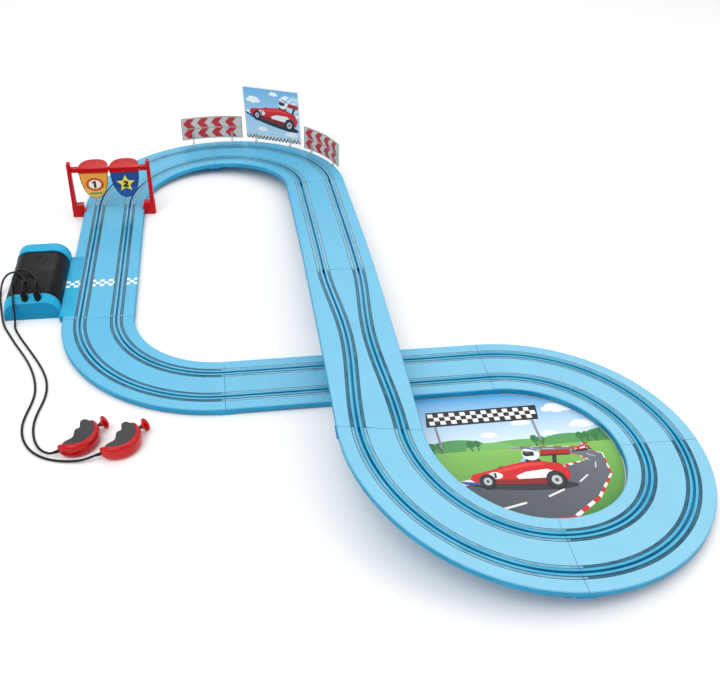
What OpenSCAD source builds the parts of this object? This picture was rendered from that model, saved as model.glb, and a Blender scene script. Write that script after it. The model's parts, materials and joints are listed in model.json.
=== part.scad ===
/* [Track] */
// Radius of a quarter curve, at the middle of the track; a straight is twice as long
curve_r = 166.5; // [150:0.5:200]
// Width of the track
track_w = 96; // [84:1:116]
// Height of the deck above the table on a level piece
track_h = 9; // [8.6:0.1:12]
// Distance of each lane from the middle of the track
lane_s = 24; // [21:0.5:26]
// How far the lanes close in on the bridge
pinch = 9.5; // [0:0.5:11.4]
// Thickness of the deck
deck_t = 2.2; // [1.8:0.1:2.6]
// Thickness of the side skirts
skirt_t = 1.8; // [1.2:0.1:2.2]
// Depth of the side skirts below the deck
skirt_d = 7; // [6.8:0.1:8.4]
// Width of the guide slot
slot_w = 3.6; // [3:0.1:4.4]
// Depth of the guide slot
slot_d = 5; // [4:0.1:5.2]
// Width of one metal rail
rail_w = 3.4; // [2.6:0.1:3.8]
// Distance of a rail from the middle of its lane
rail_s = 6.6; // [6:0.1:7.4]
// Gap between two pieces of track at a joint
joint_gap = 0.3; // [0.1:0.05:0.6]

/* [Layout heights] */
// Rise of the deck on the bridge above the level pieces
bridge_z = 56; // [50:1:70]
// Rise at the shoulder joint, between the top curve and the ramp
shoulder_z = 28; // [20:1:36]
// Rise at the joint in the middle of the top curve
top_z = 12; // [8:1:16]
// Rise at the south joint of the loop
loop_z = 20; // [14:1:26]
// Cross slope at the shoulder joint, rise for each unit of width
shoulder_bank = 0.08; // [0:0.01:0.1]
// Cross slope at the joint between bridge and loop
bridge_bank = 0.16; // [0:0.01:0.2]

/* [Clips and piers] */
// Length of a joint clip
clip_len = 20; // [14:1:24]
// Width of a pier's column
pier_w = 28; // [20:1:40]
// Length of a pier's foot across the track
pier_foot = 60; // [50:1:80]
// Distance of the two high piers from the middle of the bridge
pier_y = 135; // [125:1:145]

/* [Battery housing] */
// Width of the housing beside the track
housing_w = 79.6; // [76:0.1:92]
// Length of the housing along the track
housing_len = 160; // [150:1:200]
// Height of the housing
housing_h = 34.4; // [34:0.1:42]
// Wall of the housing
housing_wall = 2; // [1.4:0.1:2.4]
// Radius of a battery cell
cell_r = 13.1; // [11:0.1:13.1]
// Length of a battery cell
cell_len = 50; // [42:0.5:50]
// Distance between the two control sockets
socket_gap = 17; // [14:0.5:24]

/* [Hand controllers] */
// Outer radius of a controller's curved grip
grip_r = 29; // [27:0.5:34]
// Thickness of a controller
grip_h = 19; // [18.6:0.1:24]
// Width of a controller's red grip
grip_w = 9.5; // [9:0.1:11]
// Wall of a controller
grip_wall = 2; // [1.5:0.1:2.4]
// Radius of the plunger's rod
rod_r = 2; // [1.6:0.1:2.2]
// Radius of the plunger's knob
knob_r = 8.4; // [7:0.1:9.3]
// Travel of the plunger
travel = 6; // [4:0.5:6.5]

/* [Gantry] */
// Outer width of the gantry
gantry_w = 132; // [124:1:160]
// Height of the gantry's posts
gantry_h = 93; // [88:1:120]
// Height of the crossbar's axis
bar_z = 80.5; // [78:0.5:84]
// Radius of the crossbar inside the spinners
bar_r = 2; // [1.6:0.1:2.2]
// Width of a spinner
spinner_w = 47; // [40:0.5:50]
// Length of a spinner's shield
shield_len = 44; // [34:1:50]
// Depth of a spinner's hood
hood_d = 36; // [30:1:40]
// Height of a spinner's hood
hood_h = 8; // [7.8:0.1:9]

/* [Panels] */
// Height of a chevron panel
chevron_h = 41; // [30:1:50]
// Angle that a chevron panel covers
chevron_a = 29.4; // [24:0.2:29.4]
// Width of the billboard
board_w = 111; // [90:1:112]
// Height of the billboard
board_h = 97; // [70:1:110]
// Thickness of the panels
panel_t = 1.8; // [1.2:0.1:2.4]

/* [Hidden] */

track_blue = "#86cdee";
skirt_blue = "#1593cf";
rail_steel = "#5d7683";
toy_red = "#d0141c";

R = curve_r;
straight = 2 * R;
arc_len = R * PI / 2;
half_w = track_w / 2;
fit = 0.1;
seat = 0.05;
rail_t = 0.8;
rib_h = 0.4;
trough_w = 1.6;

// Steepness of the path at the joints, for a smooth run over the ramp, the bridge and the loop
climb = [0, 0.053, 0.075, 0.03, -0.06, -0.107, 0, 0, 0, 0];
rise = [0, top_z, shoulder_z, bridge_z, bridge_z, loop_z, 0, 0, 0, 0];
bank = [0, 0, shoulder_bank, 0, -bridge_bank, 0, 0, 0, 0, 0];

// The pieces in driving order: curves are [centre, first angle, turn], straights are [start, end]
PATH = [
  [[R, 3 * R], 180, -90],
  [[R, 3 * R], 90, -90],
  [[2 * R, 3 * R], [2 * R, R]],
  [[2 * R, R], [2 * R, -R]],
  [[3 * R, -R], 180, 90],
  [[3 * R, -R], 270, 90],
  [[3 * R, -R], 0, 90],
  [[3 * R, 0], [R, 0]],
  [[R, R], 270, -90],
  [[0, R], [0, 3 * R]]];
count = len(PATH);

// The part's own box, which puts the origin at the middle of its underside
panel_r = R + half_w + 2.1;
box_x0 = -half_w - housing_w;
box_x1 = 4 * R + half_w;
box_y0 = -2 * R - half_w;
box_y1 = 3 * R + panel_r + panel_t;

module on_plan() {
  translate([-(box_x0 + box_x1) / 2, -(box_y0 + box_y1) / 2, 0]) children();
}

// ---- The path: a place is the number of a piece plus the share of it that lies behind ----
function piece_at(u) = floor(u + count) % count;
function share_at(u) = u - floor(u);
function is_curve(i) = len(PATH[i]) == 3;
function piece_len(i) = is_curve(i) ? arc_len : straight;
function hermite(a, b, da, db, t) =
  a * (1 + 2 * t) * (1 - t) * (1 - t) + b * t * t * (3 - 2 * t)
  + da * t * (1 - t) * (1 - t) - db * t * t * (1 - t);
function next(i) = (i + 1) % count;
function heading_at(u) = let(i = piece_at(u), p = PATH[i])
  is_curve(i) ? p[1] + p[2] * share_at(u) + sign(p[2]) * 90
  : atan2(p[1].y - p[0].y, p[1].x - p[0].x);
function middle_at(u) = let(i = piece_at(u), p = PATH[i], t = share_at(u))
  is_curve(i) ? p[0] + R * [cos(p[1] + p[2] * t), sin(p[1] + p[2] * t)] : p[0] + (p[1] - p[0]) * t;
function rise_at(u) = let(i = piece_at(u), n = piece_len(i))
  hermite(rise[i], rise[next(i)], climb[i] * n, climb[next(i)] * n, share_at(u));
function bank_at(u) = let(i = piece_at(u), t = share_at(u)) bank[i] * (1 - t) + bank[next(i)] * t;
function lane_at(u) = lane_s - (piece_at(u) == 3 ? pinch * pow(sin(180 * share_at(u)), 2) : 0);

// A point s to the left of the path and h above its deck
function place(u, s, h) = let(m = middle_at(u), a = heading_at(u))
  [m.x - s * sin(a), m.y + s * cos(a), track_h + rise_at(u) + bank_at(u) * s + h];

// ---- Cross sections, as [distance to the left, height above the deck] ----
function groove(c) = [for (q = [[rail_w / 2 + fit, 0], [rail_w / 2 + fit, -rail_t],
  [-rail_w / 2 - fit, -rail_t], [-rail_w / 2 - fit, rib_h]]) [c + q.x, q.y]];
function lane_top(c) = concat(groove(c + rail_s),
  [[c + slot_w / 2, rib_h], [c + slot_w / 2, -slot_d], [c - slot_w / 2, -slot_d], [c - slot_w / 2, rib_h]],
  [for (k = [3:-1:0]) [2 * c - groove(c + rail_s)[k].x, groove(c + rail_s)[k].y]]);
function trough(c) = let(w = slot_w / 2 + trough_w, d = slot_d + trough_w - 0.2)
  [[c - w, -deck_t], [c - w, -d], [c + w, -d], [c + w, -deck_t]];
function deck_section(lane) = concat(
  [[half_w, -1], [half_w - 1, 0]], lane_top(lane), lane_top(-lane), [[1 - half_w, 0], [-half_w, -1]],
  [[-half_w, -skirt_d], [skirt_t - half_w, -skirt_d], [skirt_t - half_w, -deck_t]],
  trough(-lane), trough(lane),
  [[half_w - skirt_t, -deck_t], [half_w - skirt_t, -skirt_d], [half_w, -skirt_d]]);
function rail_section(c) = [for (q = [[1, -seat], [-1, -seat], [-1, seat - rail_t], [1, seat - rail_t]])
  [c + q.x * rail_w / 2, q.y]];
function rail_middles(lane) = [lane + rail_s, lane - rail_s, rail_s - lane, -rail_s - lane];

// ---- Sweeps along the path ----
function ring_faces(n, m) = concat(
  [[for (k = [n - 1:-1:0]) k]], [[for (k = [0:n - 1]) (m - 1) * n + k]],
  [for (i = [0:m - 2], k = [0:n - 1]) [i * n + k, i * n + (k + 1) % n, (i + 1) * n + (k + 1) % n, (i + 1) * n + k]]);

// sections is a list of [place on the path, section]; the section keeps its number of points
module sweep(sections) {
  n = len(sections[0][1]);
  points = [for (q = sections, p = q[1]) place(q[0], p.x, p.y)];
  polyhedron(points, ring_faces(n, len(sections)), convexity = 10);
}

function stations(i, steps) = let(g = joint_gap / 2 / piece_len(i))
  [for (k = [0:steps]) i + g + (1 - 2 * g) * k / steps];

module raised_piece(i, steps) {
  on_plan() color(track_blue) sweep([for (u = stations(i, steps)) [u, deck_section(lane_at(u))]]);
}

module raised_rails(i, steps) {
  on_plan() color(rail_steel) for (r = [0:3])
    sweep([for (u = stations(i, steps)) [u, rail_section(rail_middles(lane_at(u))[r])]]);
}

// A level piece has true flat and round faces
module level_run(i) {
  p = PATH[i];
  if (is_curve(i)) {
    g = joint_gap / 2 / arc_len * 90;
    first = min(p[1], p[1] + p[2]) + g;
    translate([p[0].x, p[0].y, track_h]) rotate([0, 0, first])
      rotate_extrude(angle = 90 - 2 * g, $fn = 96) translate([R, 0]) children();
  } else {
    a = heading_at(i);
    translate([p[0].x + joint_gap / 2 * cos(a), p[0].y + joint_gap / 2 * sin(a), track_h])
      rotate([90, 0, a + 90]) linear_extrude(straight - joint_gap) children();
  }
}

module level_piece(i) {
  on_plan() color(track_blue) level_run(i) polygon(deck_section(lane_s));
}

module level_rails(i) {
  on_plan() color(rail_steel) for (c = rail_middles(lane_s)) level_run(i) polygon(rail_section(c));
}

// ---- Track pieces ----
steps_curve = 20;
steps_ramp = 14;
steps_bridge = 24;

tongue_x = -half_w + 14;
housing_y0 = R + 8.1;
housing_y1 = housing_y0 + housing_len;

module connecting_straight() {
  difference() {
    level_piece(9);
    on_plan() translate([-half_w - 1, housing_y0 - fit, -1])
      cube([tongue_x + half_w + 1 + fit, housing_len + 2 * fit, track_h + 2]);
  }
}

module top_curve_west() { raised_piece(0, steps_curve); }
module top_curve_east() { raised_piece(1, steps_curve); }
module ramp_straight() { raised_piece(2, steps_ramp); }
module bridge_narrows() { raised_piece(3, steps_bridge); }
module loop_curve_west() { raised_piece(4, steps_curve); }
module loop_curve_south() { raised_piece(5, steps_curve); }
module loop_curve_east() { level_piece(6); }
module underpass_straight() { level_piece(7); }
module corner_curve() { level_piece(8); }

module top_west_rails() { raised_rails(0, steps_curve); }
module top_east_rails() { raised_rails(1, steps_curve); }
module ramp_rails() { raised_rails(2, steps_ramp); }
module bridge_rails() { raised_rails(3, steps_bridge); }
module loop_west_rails() { raised_rails(4, steps_curve); }
module loop_south_rails() { raised_rails(5, steps_curve); }
module loop_east_rails() { level_rails(6); }
module underpass_rails() { level_rails(7); }
module corner_rails() { level_rails(8); }
module connecting_rails() { level_rails(9); }

// ---- Clips under the joints ----
// On level track a clip reaches from the skirt down to the table; on a slope it hangs lower and its tongue is
// slimmer, for the twist
clip_h = track_h - skirt_d;
clip_drop = 0.5;
clip_tongue = 4;
clip_slim = 1.2;

module joint_clip(j, side, back, ahead) {
  in_s = half_w - skirt_t - 4.5;
  translate(place(j, 0, 0)) rotate([0, 0, heading_at(j)]) rotate([0, -atan(climb[j]), 0])
    rotate([atan(bank[j]), 0, 0]) mirror([0, side < 0 ? 1 : 0, 0])
      translate([-back, in_s, -skirt_d - clip_h]) {
        cube([back + ahead, half_w - in_s, clip_h - (rise[j] > 0 ? clip_drop : seat)]);
        cube([back + ahead, clip_tongue - (rise[j] > 0 ? clip_slim : 0), clip_h + 3]);
      }
}

module joint_clips() {
  on_plan() color(skirt_blue) for (j = [0:count - 1], side = [-1, 1])
    // the clip beside the housing is cut short by it
    joint_clip(j, side, clip_len / 2, j == 9 && side > 0 ? housing_y0 - R - 1 : clip_len / 2);
}

// ---- Piers: a foot, a column and a saddle laid under the deck between its skirts ----
saddle_t = 5;
pier_gap = 0.3;
pier_foot_t = 3;

function slope_at(u) = let(d = place(u + 0.03, 0, 0) - place(u - 0.03, 0, 0)) d.z / norm([d.x, d.y]);

module pier(u, reach) {
  m = middle_at(u);
  h0 = -slot_d - trough_w + 0.2 - pier_gap;
  width = 2 * (half_w - skirt_t - 6);
  on_plan() color(skirt_blue) {
    translate([m.x, m.y, 0]) rotate([0, 0, heading_at(u)]) {
      translate([-reach, -pier_foot / 2, 0]) cube([2 * reach, pier_foot, pier_foot_t]);
      translate([-reach / 2, -pier_w / 2, 0]) cube([reach, pier_w, place(u, 0, h0).z - saddle_t / 2]);
    }
    translate(place(u, 0, h0)) rotate([0, 0, heading_at(u)]) rotate([0, -atan(slope_at(u)), 0])
      rotate([atan(bank_at(u)), 0, 0])
        translate([-reach, -width / 2, -saddle_t]) cube([2 * reach, width, saddle_t]);
  }
}

pier_share = (R - pier_y) / straight;
module bridge_piers() {
  pier(3 + pier_share, 14);
  pier(4 - pier_share, 12);
}

module pier_shoulder() { pier(2, 14); }
module pier_loop() { pier(5, 12); }
module pier_top() { pier(1, 10); }

// ---- Printed card on the table inside the loop ----
card_t = 0.6;
card_r = R - half_w - 0.3;

module infield_card() {
  on_plan() color("#9fb7a8") translate([3 * R, -R, 0]) linear_extrude(card_t) {
    circle(r = card_r, $fn = 128);
    translate([-card_r, 0]) square(card_r);
  }
}

// ---- Panels on the outer edge of the top curve ----
// Each panel is [first angle, last angle, foot above the table at the first, at the last]
west_panel = [105, 105 - chevron_a, 28, 29.5];
east_panel = [41.4, 41.4 - chevron_a, 34, 40];
board_a = 59.4;
board_tilt = 2.8;
board_foot = 31.5;
board_r = R + half_w + 1.3;

module chevron_panel(p) {
  steps = 12;
  points = [for (k = [0:steps], q = [[0, 0], [0, 1], [1, 1], [1, 0]])
    let(t = k / steps, a = p[0] + (p[1] - p[0]) * t, r = panel_r + q.x * panel_t)
    [R + r * cos(a), 3 * R + r * sin(a), p[2] + (p[3] - p[2]) * t + q.y * chevron_h]];
  on_plan() color("#e6e3dc") polyhedron(points, ring_faces(4, steps + 1), convexity = 4);
}

module chevron_panel_west() { chevron_panel(west_panel); }
module chevron_panel_east() { chevron_panel(east_panel); }

module billboard() {
  on_plan() color("#8fc6e8") translate([R, 3 * R, 0]) rotate([0, 0, board_a])
    translate([board_r, 0, board_foot]) rotate([-board_tilt, 0, 0])
      translate([0, -board_w / 2, 0]) cube([panel_t, board_w, board_h]);
}

// A clip is clear: a hook round the edge of the track and two jaws for the panel
clip_w = 3.6;
jaw_t = 1.2;
jaw_up = 11;

// Drawn with X pointing out of the curve: edge is the edge of the deck, lift its height,
// inner the panel's inner face and foot its lower edge
module panel_clip(edge, lift, inner, foot) {
  top = foot + jaw_up;
  translate([0, -clip_w / 2, 0]) {
    translate([edge - 9, 0, lift + 0.1]) cube([inner - edge + 9 - fit, clip_w, jaw_t]);
    translate([edge + 0.3, 0, lift - skirt_d]) cube([jaw_t, clip_w, skirt_d + 1]);
    translate([inner - jaw_t - fit, 0, lift]) cube([jaw_t, clip_w, top - lift]);
    translate([inner - jaw_t - fit, 0, foot - jaw_t - fit]) cube([panel_t + 2 * jaw_t + 2 * fit, clip_w, jaw_t]);
    translate([inner + panel_t + fit, 0, foot - 1]) cube([jaw_t, clip_w, 6]);
  }
}

function edge_lift(a) = place((180 - a) / 90, half_w, 0).z;

module panel_clips() {
  edge = R + half_w;
  across = 35;
  on_plan() color("#e8eef0") translate([R, 3 * R, 0]) {
    for (p = [west_panel, east_panel], t = [0.18, 0.82])
      let(a = p[0] + (p[1] - p[0]) * t)
        rotate([0, 0, a]) panel_clip(edge, edge_lift(a), panel_r, p[2] + (p[3] - p[2]) * t);
    for (y = [-across, across])
      rotate([0, 0, board_a]) translate([0, y, 0])
        panel_clip(sqrt(edge * edge - y * y) + 0.2, edge_lift(board_a + atan(y / edge)), board_r,
          board_foot - y * tan(board_tilt) - 0.2);
  }
}

// ---- Gantry with its crossbar ----
post_w = 7;
post_d = 11;
post_taper = 1.8;
gantry_y = 3 * R - 19.5;
// The crossbar lies where the spinners hang straight
bar_y = gantry_y + 8.06;
foot_h = 20;
foot_d = 14;
post_in = gantry_w / 2 - post_w;
collar_r = 3.6;
spinner_gap = 1.5;
spinner_x = spinner_w + spinner_gap / 2;

module gantry_post(side) {
  on_plan() color(toy_red) mirror([side < 0 ? 1 : 0, 0, 0]) difference() {
    union() {
      translate([0, gantry_y + post_d, 0]) rotate([90, 0, 0]) linear_extrude(post_d)
        polygon([[post_in, 0], [gantry_w / 2, 0], [gantry_w / 2 - post_taper, gantry_h], [post_in, gantry_h]]);
      translate([half_w + 0.2, gantry_y, 0]) cube([gantry_w / 2 - half_w - 0.2, foot_d, foot_h]);
      translate([half_w - 3, gantry_y + 1, track_h + seat]) cube([4, foot_d - 2, 1.4]);
    }
    translate([post_in - 1, bar_y, bar_z]) rotate([0, 90, 0]) cylinder(r = bar_r + seat, h = 5, $fn = 48);
  }
}

module gantry_posts() {
  gantry_post(-1);
  gantry_post(1);
}

module gantry_bar() {
  on_plan() color(toy_red) translate([0, bar_y, bar_z]) rotate([0, 90, 0]) {
    translate([0, 0, -post_in - 3.9]) cylinder(r = bar_r, h = 2 * post_in + 7.8, $fn = 48);
    translate([0, 0, -spinner_gap / 2 + 0.3]) cylinder(r = collar_r, h = spinner_gap - 0.6, $fn = 48);
    for (side = [0, 1]) mirror([0, 0, side]) translate([-collar_r, gantry_y + 2.6 - bar_y, spinner_x + 0.4])
      cube([2 * collar_r, post_d - 2.6, post_in - spinner_x - 0.4 - seat]);
  }
}

// ---- Spinners: a hood on the crossbar, with a shield pegged under it ----
hub_r = 3.7;
bar_slack = 0.08;
hood_t = 1.6;
shield_t = 2.6;
peg_r = 0.8;

// A half oval; a power over 2 makes it squarer
function half_oval(w, d, n, power) = [for (k = [0:n]) let(a = 180 * k / n, c = cos(a))
  [w * sign(c) * pow(abs(c), 2 / power), d * pow(sin(a), 2 / power)]];

module spinner_frame(side) {
  on_plan() translate([side * (spinner_gap / 2 + spinner_w / 2), gantry_y, bar_z]) children();
}

module peg_places() {
  for (x = [-1, 1]) translate([x * spinner_w / 3, shield_t / 2, 0]) children();
}

module spinner_hood(side) {
  w = spinner_w / 2;
  spinner_frame(side) color(toy_red) difference() {
    union() {
      difference() {
        translate([0, 0, -hood_h / 2]) linear_extrude(hood_h) polygon(half_oval(w, hood_d, 24, 2.5));
        translate([0, shield_t, -hood_h / 2 - 1]) linear_extrude(hood_h + 1 - hood_t)
          polygon(half_oval(w - hood_t, hood_d - hood_t - shield_t, 24, 2.5));
      }
      translate([-w + 1.2, bar_y - gantry_y, 0]) rotate([0, 90, 0]) cylinder(r = hub_r, h = spinner_w - 2.4, $fn = 48);
    }
    translate([-w - 1, bar_y - gantry_y, 0]) rotate([0, 90, 0]) cylinder(r = bar_r + bar_slack, h = spinner_w + 2, $fn = 48);
    peg_places() translate([0, 0, -hood_h / 2 - 1]) cylinder(r = peg_r + seat, h = 4.2, $fn = 24);
  }
}

module spinner_shield(side, tint) {
  w = spinner_w / 2 - 1.3;
  spinner_frame(side) color(tint) {
    translate([0, shield_t, -hood_h / 2 - seat]) rotate([90, 0, 0]) linear_extrude(shield_t)
      mirror([0, 1]) polygon(half_oval(w, shield_len, 32, 2.1));
    peg_places() translate([0, 0, -hood_h / 2 - 1]) cylinder(r = peg_r, h = 4, $fn = 24);
  }
}

module spinner_hood_left() { spinner_hood(-1); }
module spinner_hood_right() { spinner_hood(1); }
module spinner_shield_left() { spinner_shield(-1, "#efa23a"); }
module spinner_shield_right() { spinner_shield(1, "#1d3f87"); }

// ---- Battery housing beside the connecting straight ----
// The arch is drawn across the housing: a round shoulder at each side of a flat top
arch_l = box_x0;
arch_r = -half_w - 4.5;
shoulder_l = housing_h - 14.8;
shoulder_r = housing_h - 12.9;
front_drop = 8.4;
lid_y0 = housing_y0 + 22.5;
lid_y1 = housing_y1 - 21;
face_y = housing_y0 + 11.4;
base_t = 2;
lid_t = 2;
lid_in = 1;
lid_z = 8;

function arc_pts(c, r, a0, a1, n) = [for (k = [0:n]) let(a = a0 + (a1 - a0) * k / n) c + r * [cos(a), sin(a)]];

// inset draws the arch in; drop lowers it; z0 is its foot
function arch(inset, drop, z0) = let(cl = [arch_l + shoulder_l, housing_h - shoulder_l - drop],
  cr = [arch_r - shoulder_r, housing_h - shoulder_r - drop])
  concat([[arch_l + inset, z0]], arc_pts(cl, shoulder_l - inset, 180, 90, 14),
    arc_pts(cr, shoulder_r - inset, 90, 0, 14), [[arch_r - inset, z0]]);

module arch_run(y0, y1, inset, drop, z0) {
  translate([0, y1, 0]) rotate([90, 0, 0]) linear_extrude(y1 - y0) polygon(arch(inset, drop, z0));
}

socket_x = (arch_l + arch_r) / 2 + 1.9;
socket_y = face_y + 5;
socket_r = 3.2;

module at_sockets() {
  for (side = [-1, 1]) translate([socket_x + side * socket_gap / 2, socket_y, 0]) children();
}

lid_slack = 0.3;
screw_r = 1.4;
screw_head_r = 2.6;
boss_r = 3.2;

module at_screws() {
  for (x = [arch_l + 9, arch_r - 9], y = [(lid_y0 + face_y) / 2, (lid_y1 + housing_y1) / 2])
    translate([x, y, 0]) children();
}

module battery_housing() {
  w = housing_wall;
  on_plan() color("#18a4da") difference() {
    union() {
      difference() {
        union() {
          hull() {
            arch_run(lid_y0, lid_y0 + 0.1, 0, 0, 0);
            arch_run(face_y, face_y + 0.1, 0, front_drop, 0);
          }
          arch_run(lid_y1, housing_y1, 0, 0, 0);
          translate([arch_l, lid_y0 - 1, 0]) cube([arch_r - arch_l, lid_y1 - lid_y0 + 2, lid_z]);
          translate([arch_r - lid_in + 0.2, housing_y0, 0])
            cube([tongue_x - arch_r + lid_in - 0.2, housing_len, track_h]);
        }
        // room for the front sockets, the battery bay and the rear space, all open below
        arch_run(face_y + w, lid_y0 - w, w, front_drop, -1);
        translate([arch_l + w, lid_y0 + w, -1])
          cube([arch_r - arch_l - 2 * w, lid_y1 - lid_y0 - 2 * w, housing_h]);
        arch_run(lid_y1 + w, housing_y1 - w, w, 0, -1);
        translate([arch_r + w, housing_y0 + w, -1])
          cube([tongue_x - arch_r - 2 * w, housing_len - 2 * w, track_h - w + 1]);
      }
      at_screws() cylinder(r = boss_r, h = 14, $fn = 48);
      for (y = [(lid_y0 + face_y) / 2, (lid_y1 + housing_y1) / 2], x = [arch_l + 1, arch_r - 9])
        translate([x, y - 1, 0]) cube([8, 2, 14]);
    }
    // a pocket underneath for the floor plate
    translate([arch_l + w, face_y + w, -1])
      cube([arch_r - arch_l - 2 * w, housing_y1 - face_y - 2 * w, base_t + 1 + seat]);
    at_sockets() {
      cylinder(r = socket_r + fit, h = housing_h, $fn = 48);
      // a level pocket for the plug's grip
      translate([-plug_w / 2 - 0.9, -plug_d / 2 - 0.3, plug_z - seat]) cube([plug_w + 1.8, plug_d + 0.6, housing_h]);
    }
    at_screws() translate([0, 0, -1]) cylinder(r = screw_r + seat, h = 11, $fn = 32);
  }
}

module housing_base() {
  w = housing_wall + fit;
  on_plan() color("#1286bd") difference() {
    translate([arch_l + w, face_y + w, 0])
      cube([arch_r - arch_l - 2 * w, housing_y1 - face_y - 2 * w, base_t]);
    at_screws() {
      translate([0, 0, -1]) cylinder(r = screw_head_r + fit, h = 2.3, $fn = 32);
      translate([0, 0, -1]) cylinder(r = screw_r + fit, h = 4, $fn = 32);
    }
  }
}

module housing_screws() {
  on_plan() color("#b9bcc0") at_screws() {
    translate([0, 0, 0.2]) cylinder(r = screw_head_r, h = 1, $fn = 32);
    translate([0, 0, 0.2]) cylinder(r = screw_r, h = 9, $fn = 32);
  }
}

// The board stands on edge behind the batteries
module power_board() {
  board = [46, 1.6, 20];
  on_plan() color("#2f7d4c") translate([(arch_l + arch_r - board.x) / 2, lid_y1 + 4, base_t + seat]) {
    cube(board);
    translate([8, board.y, 4]) cube([10, 6, 9]);
    translate([26, board.y, 3]) cube([6, 4, 6]);
  }
}

cell_x = (arch_l + arch_r) / 2;
cell_y0 = (lid_y0 + lid_y1) / 2 - cell_len;

module battery_cells() {
  on_plan() color("#c9a24a") for (side = [-1, 1], k = [0, 1])
    translate([cell_x + side * (cell_r + 0.4), cell_y0 + k * (cell_len + 0.1), base_t + seat + cell_r]) rotate([-90, 0, 0]) {
      cylinder(r = cell_r, h = cell_len - 2.2, $fn = 64);
      cylinder(r = 3.4, h = cell_len - 0.4, $fn = 32);
    }
}

module battery_contacts() {
  t = 0.6;
  on_plan() color("#c8ccd0") for (end = [0, 1])
    translate([cell_x - 2 * cell_r, end == 0 ? cell_y0 - 0.2 - t : cell_y0 + 2 * cell_len + 0.3, base_t + seat])
      cube([4 * cell_r, t, 2 * cell_r - 3]);
}

module battery_lid() {
  w = lid_slack;
  on_plan() color("#232021") difference() {
    translate([0, lid_y1 - w, 0]) rotate([90, 0, 0]) linear_extrude(lid_y1 - lid_y0 - 2 * w)
      polygon(arch(lid_in, 0, lid_z + seat));
    translate([0, lid_y1 + 1, 0]) rotate([90, 0, 0]) linear_extrude(lid_y1 - lid_y0 + 2)
      polygon(arch(lid_in + lid_t, 0, lid_z - 1));
  }
}

module control_sockets() {
  on_plan() color("#2b2b2d") at_sockets() difference() {
    translate([0, 0, base_t + seat]) cylinder(r = socket_r, h = plug_z - base_t - 2 * seat, $fn = 48);
    translate([0, 0, plug_z - prong_len - 2]) cylinder(r = prong_r + fit, h = prong_len + 4, $fn = 32);
  }
}

// ---- Plugs and cords ----
cord_r = 1.4;
plug_z = 28.5;
plug_top = 38;
plug_w = 6.6;
plug_d = 6.8;
relief_h = 4;
prong_r = 1.5;
prong_len = 14;

module plug(side) {
  on_plan() color("#1d1c1e") translate([socket_x + side * socket_gap / 2, socket_y, 0]) {
    translate([0, plug_d / 2, plug_z]) rotate([90, 0, 0]) linear_extrude(plug_d)
      polygon([[-plug_w / 2, 0], [plug_w / 2, 0], [plug_w / 2 + 1.5, plug_top - plug_z],
        [-plug_w / 2 - 1.5, plug_top - plug_z]]);
    translate([0, 0, plug_top - 1]) cylinder(r = 2.2, h = relief_h + 1, $fn = 32);
    translate([0, 0, plug_z - prong_len]) cylinder(r = prong_r, h = prong_len + 1, $fn = 32);
  }
}

module plug_left() { plug(-1); }
module plug_right() { plug(1); }

// Middles of the two controllers' curved grips
controller_right = [40.5, -86];
controller_left = [-7, -76];
gland_at = [-17.2, -20.3];
gland_a = 200;
gland_len = 5;
gland_z = 6;
gland_r = 2.4;

// The cords' routes, from plug to gland
ROUTE_RIGHT = [[-96.7, 191, 42], [-96.7, 191, 46], [-96.7, 193, 50], [-96.8, 198, 52], [-97, 205, 50],
  [-98, 213, 44], [-99, 221, 38], [-101, 230, 35], [-105, 240, 35], [-111, 250, 35], [-119, 258, 34], [-129, 263, 29],
  [-137, 265, 21], [-142, 264, 12], [-144, 260, 5], [-144, 253, 2], [-143, 243, 1.5], [-140, 228, 1.5],
  [-136, 210, 1.5], [-131.5, 190, 1.5], [-126, 170, 1.5], [-116, 150, 1.5], [-106, 129, 1.5], [-94, 107, 1.5],
  [-83, 85, 1.5], [-74, 62, 1.5], [-68, 40, 1.5], [-65, 18, 1.5], [-67, -4, 1.5], [-71, -25, 1.5],
  [-72, -46, 1.5], [-67, -68, 1.5], [-57, -86, 1.5], [-42, -100, 1.5], [-24, -108, 1.5], [-8, -110, 1.5],
  [2, -111, 2], [9, -111, 4.5], [14.9, -109.4, 6], [18.6, -108, 6]];
ROUTE_LEFT = [[-79.7, 191, 42], [-79.7, 191, 46], [-79.7, 193, 50], [-79.7, 198, 52], [-80, 205, 50],
  [-82, 213, 44], [-84, 221, 38], [-86, 230, 35], [-90, 240, 35], [-96, 249, 36], [-104, 255, 38.5], [-112, 254, 39],
  [-117, 248, 37], [-119, 238, 34], [-118, 225, 33], [-116, 212, 34], [-114, 202, 35.5], [-112, 194, 36.5],
  [-111, 187, 34], [-111, 182, 27], [-111, 180, 18], [-112, 179, 9], [-112, 176, 3], [-112, 169, 1.5],
  [-108, 157, 1.5], [-101, 142, 1.5], [-93, 127, 1.5], [-85, 112, 1.5], [-74, 91, 1.5], [-64, 70, 1.5],
  [-56, 49, 1.5], [-52, 28, 1.5], [-52, 7, 1.5], [-56, -13, 1.5], [-59, -33, 1.5], [-58, -53, 1.5],
  [-54, -70, 1.5], [-48, -84, 1.8], [-40, -95, 3.8], [-32.7, -99.4, 6], [-28.9, -98, 6]];

function unit(v) = v / norm(v);
function along(p, i) = unit(p[min(i + 1, len(p) - 1)] - p[max(i - 1, 0)]);
// Side directions of a tube's ring, square to its run and as level as they can be
function level_side(t) = abs(t.z) > 0.99 ? [1, 0, 0] : unit(cross(t, [0, 0, 1]));

module tube(p, r, sides) {
  points = [for (i = [0:len(p) - 1], k = [0:sides - 1])
    let(t = along(p, i), a = level_side(t), b = cross(a, t), q = 360 * (k + 0.5) / sides)
    p[i] + r * (cos(q) * a + sin(q) * b)];
  polyhedron(points, ring_faces(sides, len(p)), convexity = 6);
}

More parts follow.
